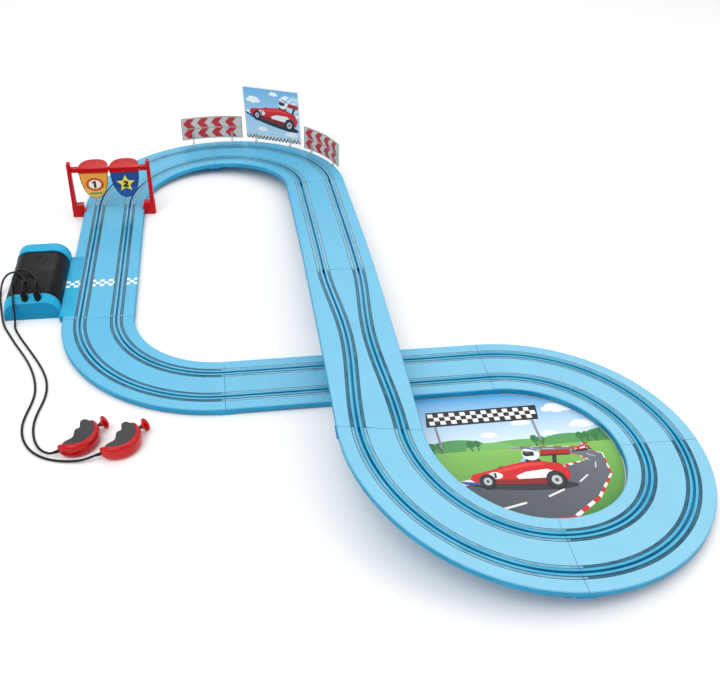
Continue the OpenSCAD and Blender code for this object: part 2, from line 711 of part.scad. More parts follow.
module cord_left() { on_plan() color("#161616") tube(ROUTE_LEFT, cord_r, 8); }
module cord_right() { on_plan() color("#161616") tube(ROUTE_RIGHT, cord_r, 8); }

// ---- Hand controllers, drawn round the middle of their curved grip ----
rod_a = 36;
rod_off = -2.4;
crescent_from = -133;
crescent_to = 55;
mid_r = grip_r - grip_w / 2;
grip_mid = grip_h / 2;

module controller_frame(left) {
  c = left ? controller_left : controller_right;
  on_plan() translate([c.x, c.y, 0]) children();
}

// The red grip is a bent bar with a round top and bottom; inset draws its surface in
function grip_outline(inset) = let(r = grip_w / 2 - inset)
  concat(arc_pts([mid_r, grip_h - grip_w / 2], r, 0, 180, 10), arc_pts([mid_r, grip_w / 2], r, 180, 360, 10));

// One half of that section, ended at the height z
function grip_half(inset, upper, z) = let(r = grip_w / 2 - inset, c = upper ? grip_h - grip_w / 2 : grip_w / 2)
  concat([[mid_r + r, z]], arc_pts([mid_r, c], r, upper ? 0 : 360, 180, 10), [[mid_r - r, z]]);

// in_a draws both ends in, in degrees
module crescent(in_a) {
  rotate([0, 0, crescent_from + in_a]) rotate_extrude(angle = crescent_to - crescent_from - 2 * in_a, $fn = 96)
    children();
}

// The dark finger grip seen from above: a hollow for the fingers, a step and a round lobe
module finger_grip() {
  intersection() {
    circle(r = mid_r - 2, $fn = 96);
    polygon([[-16, -17], [-7.3, -13.6], [-2.5, -11.2], [0.2, -8.6], [0.4, 3], [3, 5.1], [6, 8],
      [5.5, 12], [5.4, 16.2], [15, 16.2], [30, 12], [30, -30], [-5, -30]]);
  }
  translate([10.3, 16.2]) circle(r = 4.9, $fn = 48);
}

// The rod's line, along which the plunger slides
module on_rod() {
  rotate([0, 0, rod_a]) translate([0, rod_off, grip_mid]) rotate([0, 90, 0]) children();
}

rod_start = 4;
spring_len = 4;
collar_len = 2;
rod_in = rod_start + spring_len + travel;
rod_out = grip_r + travel + 0.6;
neck_len = 3.5;
neck_r = rod_r + 1.2;
bore_gap = 0.1;
room_r = rod_r + 1.8;

// Room for the spring and the collar, the rod's bore, and a well that takes the knob's neck
module rod_room() {
  on_rod() {
    translate([0, 0, rod_start]) cylinder(r = room_r, h = spring_len + travel + collar_len + fit, $fn = 48);
    translate([0, 0, rod_start + 1]) cylinder(r = rod_r + bore_gap, h = 50, $fn = 48);
    translate([0, 0, rod_out - neck_len - travel - 0.5]) cylinder(r = neck_r + 0.4, h = 50, $fn = 48);
  }
}

module controller_half(left, upper) {
  controller_frame(left) color(toy_red) difference() {
    union() {
      crescent(0) polygon(grip_half(0, upper, grip_mid + (upper ? seat : -seat)));
      if (!upper) translate([gland_at.x, gland_at.y, gland_z]) rotate([0, 90, gland_a])
        translate([0, 0, -2]) cylinder(r = gland_r, h = gland_len + 2, $fn = 32);
    }
    crescent(grip_wall / mid_r * 57.3) polygon(grip_half(grip_wall, upper, grip_mid + (upper ? -1 : 1)));
    rod_room();
  }
}

module controller_base_left() { controller_half(true, false); }
module controller_cover_left() { controller_half(true, true); }
module controller_base_right() { controller_half(false, false); }
module controller_cover_right() { controller_half(false, true); }

contact_t = 0.8;
contact_len = 10;

module contact_place() {
  on_rod() translate([-room_r - contact_t - 0.2, -3, rod_start + 1]) children();
}

module controller_grip(left) {
  controller_frame(left) color("#4a4a4a") difference() {
    translate([0, 0, 2.5]) linear_extrude(grip_h - 5) finger_grip();
    crescent(-fit / mid_r * 57.3) polygon(grip_outline(-fit));
    rod_room();
    contact_place() translate([-fit, -fit, -fit]) cube([contact_t + 2 * fit, 6 + 2 * fit, contact_len + 2 * fit]);
  }
}

module controller_grip_left() { controller_grip(true); }
module controller_grip_right() { controller_grip(false); }

module plunger(left) {
  controller_frame(left) color("#202022") on_rod() {
    translate([0, 0, rod_in]) cylinder(r = rod_r, h = rod_out - rod_in, $fn = 48);
    translate([0, 0, rod_in]) cylinder(r = rod_r + 1.4, h = collar_len, $fn = 48);
  }
}

module plunger_left() { plunger(true); }
module plunger_right() { plunger(false); }

module plunger_knob(left) {
  z0 = rod_out - neck_len;
  controller_frame(left) color(toy_red) on_rod() difference() {
    rotate_extrude($fn = 64) polygon([[0, z0], [neck_r, z0], [neck_r + 0.2, z0 + 3], [knob_r - 3, z0 + 4],
      [knob_r, z0 + 5], [knob_r, z0 + 6], [knob_r - 2, z0 + 7], [0, z0 + 7.4]]);
    cylinder(r = rod_r + seat, h = rod_out + seat, $fn = 48);
  }
}

module plunger_knob_left() { plunger_knob(true); }
module plunger_knob_right() { plunger_knob(false); }

module plunger_springs() {
  for (left = [true, false]) controller_frame(left) color("#c2c6ca") on_rod() difference() {
    translate([0, 0, rod_start + seat]) cylinder(r = rod_r + 1.4, h = spring_len - 2 * seat, $fn = 48);
    translate([0, 0, rod_start - 1]) cylinder(r = rod_r + 0.5, h = spring_len + 2, $fn = 48);
  }
}

module controller_contacts() {
  for (left = [true, false]) controller_frame(left) color("#c9a24a")
    contact_place() cube([contact_t, 6, contact_len]);
}

connecting_straight();
top_curve_west();
top_curve_east();
ramp_straight();
bridge_narrows();
loop_curve_west();
loop_curve_south();
loop_curve_east();
underpass_straight();
corner_curve();
connecting_rails();
top_west_rails();
top_east_rails();
ramp_rails();
bridge_rails();
loop_west_rails();
loop_south_rails();
loop_east_rails();
underpass_rails();
corner_rails();
joint_clips();
bridge_piers();
pier_shoulder();
pier_loop();
pier_top();
infield_card();
chevron_panel_west();
chevron_panel_east();
billboard();
panel_clips();
gantry_posts();
gantry_bar();
spinner_hood_left();
spinner_hood_right();
spinner_shield_left();
spinner_shield_right();
battery_housing();
housing_base();
battery_lid();
battery_cells();
battery_contacts();
control_sockets();
power_board();
housing_screws();
plug_left();
plug_right();
cord_left();
cord_right();
controller_base_left();
controller_cover_left();
controller_grip_left();
plunger_left();
plunger_knob_left();
controller_base_right();
controller_cover_right();
controller_grip_right();
plunger_right();
plunger_knob_right();
plunger_springs();
controller_contacts();
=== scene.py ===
import json
import math
from itertools import product

import bmesh
import bpy
from bpy.props import FloatProperty, FloatVectorProperty, IntProperty, PointerProperty
from mathutils import Matrix, Vector


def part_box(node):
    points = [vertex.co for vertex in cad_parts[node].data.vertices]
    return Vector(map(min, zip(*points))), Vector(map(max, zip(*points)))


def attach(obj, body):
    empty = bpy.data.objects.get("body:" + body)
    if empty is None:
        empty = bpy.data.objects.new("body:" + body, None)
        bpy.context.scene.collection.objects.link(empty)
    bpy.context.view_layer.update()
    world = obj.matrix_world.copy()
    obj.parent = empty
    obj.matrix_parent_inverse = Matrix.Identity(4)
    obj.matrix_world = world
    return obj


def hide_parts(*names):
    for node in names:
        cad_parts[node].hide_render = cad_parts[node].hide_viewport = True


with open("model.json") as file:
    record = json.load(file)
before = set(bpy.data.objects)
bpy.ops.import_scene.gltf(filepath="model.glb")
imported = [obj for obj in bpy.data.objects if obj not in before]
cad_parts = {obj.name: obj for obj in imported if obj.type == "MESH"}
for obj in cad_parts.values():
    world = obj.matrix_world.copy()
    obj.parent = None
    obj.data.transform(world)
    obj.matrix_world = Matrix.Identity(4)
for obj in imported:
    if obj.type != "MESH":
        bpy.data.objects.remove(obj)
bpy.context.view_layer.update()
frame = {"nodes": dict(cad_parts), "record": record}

bl_info = {
    "name": "Slot car track set",
    "version": (1, 0, 0),
    "blender": (4, 5, 0),
    "location": "View3D > Sidebar > Track Set",
    "description": "Finishes a two-lane slot car track set: moulded track, controllers, gantry, panels and prints",
    "category": "Object",
}

MM = 0.001
NODES = frame["nodes"]
ROOT = "track_set"
EAST, NORTH, UP = Vector((1, 0, 0)), Vector((0, 1, 0)), Vector((0, 0, 1))

# ---- The layout: sizes in millimetres on the plan, which starts at the corner of the circuit ----
RADIUS = 166.5       # of every curve, along the middle of the track
HALF_WIDTH = 48.0    # of the track
LANE = 24.0          # from the middle of the track to a slot
PINCH = 9.5          # how far the slots come in on the bridge
DECK = 9.0           # height of the deck on the level
RAIL_OFFSET = 6.6    # from a slot to its rails
PLAN_X = (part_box("connecting_straight")[0].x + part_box("connecting_straight")[1].x) / 2
PLAN_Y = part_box("corner_curve")[0].y + HALF_WIDTH * MM
CURVE_LEN = RADIUS * math.pi / 2
# At the start of each track piece: its slope along the lane, its height over the level, and its slope across
CLIMB = [0, 0.053, 0.075, 0.03, -0.06, -0.107, 0, 0, 0, 0]
RISE = [0, 12, 28, 56, 56, 20, 0, 0, 0, 0]
BANK = [0, 0, 0.08, 0, -0.16, 0, 0, 0, 0, 0]
# Curves are (centre, first angle, turn) and straights (start, end), in radii of the curve
PATH = [
    ((1, 3), 180, -90), ((1, 3), 90, -90), ((2, 3), (2, 1)), ((2, 1), (2, -1)), ((3, -1), 180, 90),
    ((3, -1), 270, 90), ((3, -1), 0, 90), ((3, 0), (1, 0)), ((1, 1), 270, -90), ((0, 1), (0, 3)),
]
BRIDGE = 3
# The rails drawn in the darker steel
DARK_RAILS = ("connecting_rails", "bridge_rails", "corner_rails", "loop_south_rails")
STRIP_STEPS = 28     # lengths that a strip beside a slot has on one track piece
JOINT_CLEAR = 0.15   # from the end of such a strip to the joint
# The start line: its first row, where its squares are counted from, and its two ends across the deck
START_ROW, START_COLUMN, START_ENDS = 248, -47, (-52.5, 47.5)
# The deck's painted shade: its colour goes from the paler near one to the darker far one along y - x, between these
# two values in metres
DECK_SHADES = (-0.62, 0.25)

# ---- The pieces round the track, in the same millimetres ----
GANTRY_Y = 480.0
BAR_Z = 80.5
SPINNER_X = 24.25    # from the middle of the track to the middle of a shield
# The bent red bar of a controller: its outer radius and its two ends in degrees
BAR_OUTER = 29.0
BAR_FROM, BAR_TO = -133.0, 55.0
CONTROLLERS = {"left": (-7.0, -76.0), "right": (40.5, -86.0)}
# The plunger's line in a controller: its offset to the side, its direction in degrees and its height
PLUNGER_SIDE, PLUNGER_ANGLE, PLUNGER_Z = -2.4, 36, 9.5
# The cord's gland in a controller: where it starts, its height and its direction in degrees
GLAND, GLAND_Z, GLAND_ANGLE = (-17.2, -20.3), 6, 200
# Outlines as (distance along the axis, radius)
GLAND_RINGS = [(0, 2.1), (2.6, 2.1), (2.8, 1.85), (3.4, 1.85), (3.6, 2.0), (4.2, 1.95), (4.4, 1.75), (5.0, 1.75),
               (5.2, 1.85), (5.8, 1.8), (6.0, 1.6), (6.8, 1.5)]
KNOB_RINGS = [(32.1, 2.1), (32.1, 2.9), (32.5, 3.2), (33.6, 3.3), (34.7, 3.4), (35.1, 4.2), (35.5, 5.6),
              (35.9, 7.0), (36.4, 8.0), (37.0, 8.4), (37.9, 8.4), (38.7, 8.0), (39.4, 7.2), (40.0, 6.0),
              (40.5, 4.4), (40.8, 2.6), (40.9, 0.3)]
# The finger side of a grip: a tail by the cord, a hollow for the fingers, and a step up to the lobe
GRIP_FINGERS = [(-11, -18.6), (-9, -16), (-6.8, -14), (-4.4, -12.5), (-2, -10.8), (-0.4, -8.6), (0.2, -6), (0.3, -2),
                (0.4, 2), (1.2, 4.2), (3, 5.3), (4.9, 6.4), (5.9, 8.2), (5.9, 10.4), (5.5, 12.6), (5.4, 14.6)]
LOBE, LOBE_RADIUS = (10.3, 16.2), 4.9
CORD_RADIUS = 1.4
# A plug's height over the table, half width and half depth, ring by ring
PLUG_RINGS = [(28.5, 2.9, 3.0), (28.9, 3.3, 3.4), (30.4, 3.45, 3.4), (30.8, 3.1, 3.1), (31.6, 3.15, 3.1),
              (32.0, 3.75, 3.4), (33.2, 3.95, 3.4), (33.6, 3.6, 3.1), (34.4, 3.7, 3.1), (34.8, 4.3, 3.4),
              (37.0, 4.7, 3.4), (37.7, 4.5, 3.2), (38.0, 4.0, 2.7), (38.4, 2.6, 2.4), (41.6, 2.0, 2.0),
              (42.0, 1.7, 1.7)]
PLUG_BODY_TOP = 38.2
# Curved panels: name, first angle and span in degrees, and the height of the foot at both ends
PANELS = (("west", 105.0, 29.4, 28.0, 29.5), ("east", 41.4, 29.4, 34.0, 40.0))
PANEL_OFF, PANEL_HEIGHT = 2.1, 41.0
# The billboard: its angle round the top bend, its tilt, its width and height, its foot and its distance off the edge
BOARD_ANGLE, BOARD_TILT, BOARD_WIDE, BOARD_TALL, BOARD_FOOT, BOARD_OFF = 59.4, 2.8, 111.0, 97.0, 31.5, 1.3
CARD_TOP, CARD_MARGIN = 0.6, 0.8

# The cords' routes on the plan, from plug to gland
ROUTES = {
    "right": [
        (-96.7, 191, 42), (-96.7, 191, 46), (-96.7, 193, 50), (-96.8, 198, 52), (-97, 205, 50), (-98, 213, 44),
        (-99, 221, 38), (-101, 230, 35), (-105, 240, 35), (-111, 250, 35), (-119, 258, 34), (-129, 263, 29),
        (-137, 265, 21), (-142, 264, 12), (-144, 260, 5), (-144, 253, 2), (-143, 243, 1.5), (-140, 228, 1.5),
        (-136, 210, 1.5), (-131.5, 190, 1.5), (-126, 170, 1.5), (-116, 150, 1.5), (-106, 129, 1.5),
        (-94, 107, 1.5), (-83, 85, 1.5), (-74, 62, 1.5), (-68, 40, 1.5), (-65, 18, 1.5), (-67, -4, 1.5),
        (-71, -25, 1.5), (-72, -46, 1.5), (-67, -68, 1.5), (-57, -86, 1.5), (-42, -100, 1.5), (-24, -107.5, 1.6),
        (-8, -110.5, 2.2), (2, -111, 3.1), (9, -110.6, 4.3), (14.9, -109.2, 5.6), (18.6, -108, 6)],
    "left": [
        (-79.7, 191, 42), (-79.7, 191, 46), (-79.7, 193, 50), (-79.7, 198, 52), (-80, 205, 50), (-82, 213, 44),
        (-84, 221, 38), (-86, 230, 35), (-90, 240, 35), (-96, 249, 36), (-104, 255, 38.5), (-112, 254, 39),
        (-117, 248, 37), (-119, 238, 34), (-118, 225, 33), (-116, 212, 34), (-114, 202, 35.5), (-112, 194, 36.5),
        (-111, 187, 34), (-111, 182, 27), (-111, 180, 18), (-112, 179, 9), (-112, 176, 3), (-112, 169, 1.5),
        (-108, 157, 1.5), (-101, 142, 1.5), (-93, 127, 1.5), (-85, 112, 1.5), (-74, 91, 1.5), (-64, 70, 1.5),
        (-56, 49, 1.5), (-52, 28, 1.5), (-52, 7, 1.5), (-56, -13, 1.5), (-59, -33, 1.5), (-58, -53, 1.5),
        (-54, -70, 1.5), (-48, -83, 2.2), (-40.5, -93.5, 4.2), (-33, -98.6, 5.8), (-28.9, -98, 6)],
}
CORD_PLUG = {"right": "plug_left", "left": "plug_right"}


def at(x, y, z=0.0):
    """A point of the plan, in the frame and in metres."""
    return Vector((PLAN_X + x * MM, PLAN_Y + y * MM, z * MM))


def turned(x, y, angle):
    """A flat offset turned by an angle in degrees."""
    a = math.radians(angle)
    return x * math.cos(a) - y * math.sin(a), x * math.sin(a) + y * math.cos(a)


def hermite(a, b, da, db, t):
    """A smooth way from a to b, with the slopes da and db at its ends."""
    return (a * (1 + 2 * t) * (1 - t) ** 2 + b * t * t * (3 - 2 * t)
            + da * t * (1 - t) ** 2 - db * t * t * (1 - t))


def piece_length(i):
    """The length of track piece i along its middle."""
    return CURVE_LEN if len(PATH[i]) == 3 else 2 * RADIUS


def deck_point(i, t, side, height):
    """The point of track piece i at the share t of its length, side millimetres to the left and height above."""
    piece, after, length = PATH[i], (i + 1) % len(PATH), piece_length(i)
    if len(piece) == 3:
        (cx, cy), first, turn = piece
        angle = first + turn * t
        dx, dy = turned(RADIUS, 0, angle)
        x, y, heading = cx * RADIUS + dx, cy * RADIUS + dy, angle + math.copysign(90, turn)
    else:
        (ax, ay), (bx, by) = piece
        x, y = (ax + (bx - ax) * t) * RADIUS, (ay + (by - ay) * t) * RADIUS
        heading = math.degrees(math.atan2(by - ay, bx - ax))
    sx, sy = turned(0, side, heading)
    lift = hermite(RISE[i], RISE[after], CLIMB[i] * length, CLIMB[after] * length, t)
    lift += (BANK[i] * (1 - t) + BANK[after] * t) * side
    return at(x + sx, y + sy, DECK + lift + height)


def lane_offset(i, t):
    """How far a slot lies from the middle of track piece i, at the share t of its length."""
    return LANE - (PINCH * math.sin(math.pi * t) ** 2 if i == BRIDGE else 0)


# ---- Meshes ----
def add_object(name, data):
    """A new object in the scene."""
    piece = bpy.data.objects.new(name, data)
    bpy.context.scene.collection.objects.link(piece)
    return piece


def from_bmesh(name, bm, material=None, smooth_angle=None):
    """Makes a piece of a mesh in progress, shaded smooth where an angle in degrees is given."""
    mesh = bpy.data.meshes.new(name)
    bm.to_mesh(mesh)
    bm.free()
    if material:
        mesh.materials.append(material)
    piece = add_object(name, mesh)
    if smooth_angle:
        smooth(piece, smooth_angle)
    return piece


def smooth(piece, angle):
    """Shades a piece smooth, with edges over the angle in degrees kept sharp."""
    piece.data.shade_smooth()
    piece.data.set_sharp_from_angle(angle=math.radians(angle))


def settle(piece):
    """Turns a piece with its modifiers into a plain mesh."""
    bpy.context.view_layer.update()
    graph = bpy.context.evaluated_depsgraph_get()
    mesh = bpy.data.meshes.new_from_object(piece.evaluated_get(graph), depsgraph=graph)
    piece.modifiers.clear()
    piece.data = mesh
    return piece


def bevel(piece, width, segments=3):
    """Rounds the edges of a piece that turn by more than 32 degrees, by a width in millimetres."""
    cut = piece.modifiers.new("Rounding", "BEVEL")
    cut.width, cut.segments = width * MM, segments
    cut.limit_method, cut.angle_limit = "ANGLE", math.radians(32)
    cut.use_clamp_overlap = True
    cut.miter_outer = "MITER_ARC"
    settle(piece)
    smooth(piece, 40)
    return piece


def rounded_copy(node_name, name, width, material, segments=3):
    """A copy of a frame node with its doubles merged, its flat faces joined and its edges rounded."""
    bm = bmesh.new()
    bm.from_mesh(NODES[node_name].data)
    bmesh.ops.remove_doubles(bm, verts=bm.verts, dist=2e-6)
    bmesh.ops.dissolve_degenerate(bm, edges=bm.edges, dist=2e-6)
    bmesh.ops.dissolve_limit(bm, verts=bm.verts, edges=bm.edges, angle_limit=math.radians(0.6))
    piece = from_bmesh(name, bm)
    piece.data.materials.clear()
    piece.data.materials.append(material)
    for face in piece.data.polygons:
        face.material_index = 0
    bevel(piece, width, segments)
    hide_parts(node_name)
    return piece


def skin(bm, rings):
    """Adds a closed skin over rings of points, each with the same number, to a mesh in progress."""
    rows = [[bm.verts.new(p) for p in ring] for ring in rings]
    count = len(rows[0])
    for a, b in zip(rows, rows[1:]):
        for k in range(count):
            j = (k + 1) % count
            bm.faces.new((a[k], a[j], b[j], b[k]))
    bm.faces.new(rows[0][::-1])
    bm.faces.new(rows[-1])


def outward(bm):
    """Points the faces of closed skins outwards."""
    bmesh.ops.recalc_face_normals(bm, faces=bm.faces)
    return bm


def loft(rings):
    """A closed skin over rings of points, as a mesh in progress of its own."""
    bm = bmesh.new()
    skin(bm, rings)
    return outward(bm)


def join(bm, other):
    """Adds a second mesh in progress to the first, and frees it."""
    spare = bpy.data.meshes.new("spare")
    other.to_mesh(spare)
    other.free()
    bm.from_mesh(spare)
    bpy.data.meshes.remove(spare)


def lathe(profile, start, axis, sides=48):
    """A turned shape: profile holds (distance along the axis, radius) in millimetres from start."""
    axis = axis.normalized()
    across = axis.orthogonal().normalized()
    other = axis.cross(across)
    turns = [2 * math.pi * k / sides for k in range(sides)]
    return loft([[start + axis * along * MM + (across * math.cos(q) + other * math.sin(q)) * radius * MM
                  for q in turns] for along, radius in profile])


def cut_away(piece, cutter):
    """Takes a cutter's shape out of a piece, and removes the cutter."""
    cut = piece.modifiers.new("Cut", "BOOLEAN")
    cut.operation, cut.solver, cut.object = "DIFFERENCE", "EXACT", cutter
    settle(piece)
    bpy.data.objects.remove(cutter)
    return piece


# ---- Materials ----
def linear(code, alpha=1.0):
    """An sRGB hex colour as linear red, green, blue and alpha."""
    channels = [int(code[k:k + 2], 16) / 255 for k in (1, 3, 5)]
    return tuple(c / 12.92 if c <= 0.04045 else ((c + 0.055) / 1.055) ** 2.4 for c in channels) + (alpha,)


def node(tree, kind, *in_order, inputs=None, **settings):
    """Adds a shader or geometry node with its settings. Its live inputs are given in order, or by name in inputs.
    Each is a value, another node's output, or another node, which stands for its first live output."""
    made = tree.nodes.new(kind)
    for name, value in settings.items():
        setattr(made, name, value)
    live = [socket for socket in made.inputs if socket.enabled]
    for socket, value in [*zip(live, in_order), *((made.inputs[name], v) for name, v in (inputs or {}).items())]:
        if isinstance(value, bpy.types.Node):
            value = next(output for output in value.outputs if output.enabled)
        if isinstance(value, bpy.types.NodeSocket):
            tree.links.new(value, socket)
        else:
            socket.default_value = value
    return made


def surface(name, paint, roughness, grain, relief, patch=45.0, metallic=0.0, **shader):
    """A material with an uneven colour, an uneven gloss and a fine grain in the surface.
    grain is the size in millimetres and relief its depth; paint is a pair of hex colours or a function."""
    material = bpy.data.materials.new(name)
    material.use_nodes = True
    tree = material.node_tree
    tree.nodes.clear()
    place = node(tree, "ShaderNodeTexCoord").outputs["Object"]
    fine, wide = (node(tree, "ShaderNodeTexNoise",
                       inputs={"Vector": place, "Scale": 1 / (size * MM), "Detail": detail}).outputs[0]
                  for size, detail in ((grain, 2.0), (patch, 4.0)))
    spread = node(tree, "ShaderNodeMapRange", wide, 0.3, 0.7)
    if callable(paint):
        colour = paint(tree, place, spread, fine)
    else:
        colour = node(tree, "ShaderNodeMix", spread, linear(paint[0]), linear(paint[1]), data_type="RGBA")
    gloss = node(tree, "ShaderNodeMapRange", wide, 0.3, 0.7, *roughness)
    bump = node(tree, "ShaderNodeBump", inputs={"Height": fine, "Distance": relief * MM, "Strength": 1.0})
    inputs = {"Base Color": colour, "Roughness": gloss, "Normal": bump, "Metallic": metallic, **shader}
    principled = node(tree, "ShaderNodeBsdfPrincipled", inputs=inputs)
    node(tree, "ShaderNodeOutputMaterial", principled)
    return material


def facing_up(tree):
    """1 on the surfaces that face up and 0 on walls."""
    up = node(tree, "ShaderNodeSeparateXYZ", node(tree, "ShaderNodeNewGeometry").outputs["Normal"]).outputs[2]
    return node(tree, "ShaderNodeMapRange", up, 0.55, 0.85)


def within(tree, value, low, high):
    """1 where a value lies between two limits and 0 elsewhere."""
    over = node(tree, "ShaderNodeMath", value, low, operation="GREATER_THAN")
    under = node(tree, "ShaderNodeMath", value, high, operation="LESS_THAN")
    return node(tree, "ShaderNodeMath", over, under, operation="MULTIPLY")


def start_line(tree, place, under):
    """Three rows of white squares across the deck, pad-printed on the start line."""
    square = bpy.context.scene.track_finish.square
    axes = node(tree, "ShaderNodeSeparateXYZ", place).outputs
    first = PLAN_Y + START_ROW * MM
    cell = []
    for axis, origin in ((axes[0], PLAN_X + START_COLUMN * MM), (axes[1], first)):
        offset = node(tree, "ShaderNodeMath", axis, origin, operation="SUBTRACT")
        cell.append(node(tree, "ShaderNodeMath", offset, square, operation="DIVIDE"))
    spot = node(tree, "ShaderNodeCombineXYZ", *cell, 0.5)
    checker = node(tree, "ShaderNodeTexChecker", spot, (1, 1, 1, 1), (0, 0, 0, 1), 1.0)
    mask = checker.outputs["Fac"]
    for limit in (within(tree, axes[1], first, first + 3 * square),
                  within(tree, axes[0], PLAN_X + START_ENDS[0] * MM, PLAN_X + START_ENDS[1] * MM),
                  facing_up(tree),
                  node(tree, "ShaderNodeMath", axes[2], (DECK - 0.4) * MM, operation="GREATER_THAN")):
        mask = node(tree, "ShaderNodeMath", mask, limit, operation="MULTIPLY")
    return node(tree, "ShaderNodeMix", mask, under, linear("#f4fbff"), data_type="RGBA")


def track_paint(tree, place, spread, fine):
    """Light blue deck with painted shade, darker towards the far end and the underpass and paler towards the near
    loop, walls in a deeper blue as painted shade, and a thin dark line at each joint.
    """
    sizes = bpy.context.scene.track_finish
    axes = node(tree, "ShaderNodeSeparateXYZ", place).outputs
    toward = node(tree, "ShaderNodeMath", axes[1], axes[0], operation="SUBTRACT")
    # painted shade: the deck is painted darker towards the far end and the underpass, and paler towards the near loop
    far = node(tree, "ShaderNodeMapRange", toward, *DECK_SHADES)
    deck = node(tree, "ShaderNodeMix", far, tuple(sizes.deck_lit_near), tuple(sizes.deck_shaded_far), data_type="RGBA")
    # up to 5% lighter or darker from grain to grain, and 2.5% from patch to patch
    speck = node(tree, "ShaderNodeMath", fine, 0.10, 0.95, operation="MULTIPLY_ADD")
    patches = node(tree, "ShaderNodeMath", spread, 0.05, 0.975, operation="MULTIPLY_ADD")
    tone = node(tree, "ShaderNodeMath", speck, patches, operation="MULTIPLY")
    deck = node(tree, "ShaderNodeVectorMath", deck, tone, operation="SCALE")
    # painted shade: skirts and slot walls, which face away from the light, are painted a deeper blue than the deck
    wall = node(tree, "ShaderNodeMix", spread, tuple(sizes.painted_wall_shade), linear("#0a86b2"), data_type="RGBA")
    joints = None
    for axis, start, places in ((axes[0], PLAN_X, (1, 3)), (axes[1], PLAN_Y, (1, 3, -1))):
        for k in places:
            line = node(tree, "ShaderNodeMath", axis, start + k * RADIUS * MM, sizes.seam / 2, operation="COMPARE")
            joints = node(tree, "ShaderNodeMath", joints, line, operation="MAXIMUM") if joints else line
    joints = node(tree, "ShaderNodeMath", joints, 0.5, operation="MULTIPLY")
    deck = node(tree, "ShaderNodeMix", joints, deck, linear("#1f78a4"), data_type="RGBA")
    return start_line(tree, place, node(tree, "ShaderNodeMix", facing_up(tree), wall, deck, data_type="RGBA"))


def housing_paint(tree, place, spread, fine):
    """Cyan top and a front face painted darker as painted shade, with the end of the start line on the tongue."""
    normal = node(tree, "ShaderNodeNewGeometry").outputs["Normal"]
    front = node(tree, "ShaderNodeSeparateXYZ", normal).outputs[1]
    # painted shade on the faces that look to the front
    front_shade = node(tree, "ShaderNodeMapRange", front, -0.95, -0.6)
    cyan = tuple(bpy.context.scene.track_finish.housing)
    top = node(tree, "ShaderNodeMix", spread, cyan, linear("#24afd8"), data_type="RGBA")
    return start_line(tree, place, node(tree, "ShaderNodeMix", front_shade, linear("#0288b6"), top, data_type="RGBA"))


def printed_paint(tree, place, spread, fine):
    """The colours stored in the print, with the slight unevenness of ink on card."""
    ink = node(tree, "ShaderNodeAttribute", attribute_name="ink").outputs["Color"]
    tone = node(tree, "ShaderNodeMath", fine, 0.12, 0.94, operation="MULTIPLY_ADD")
    return node(tree, "ShaderNodeVectorMath", ink, tone, operation="SCALE")


MATERIALS = {}


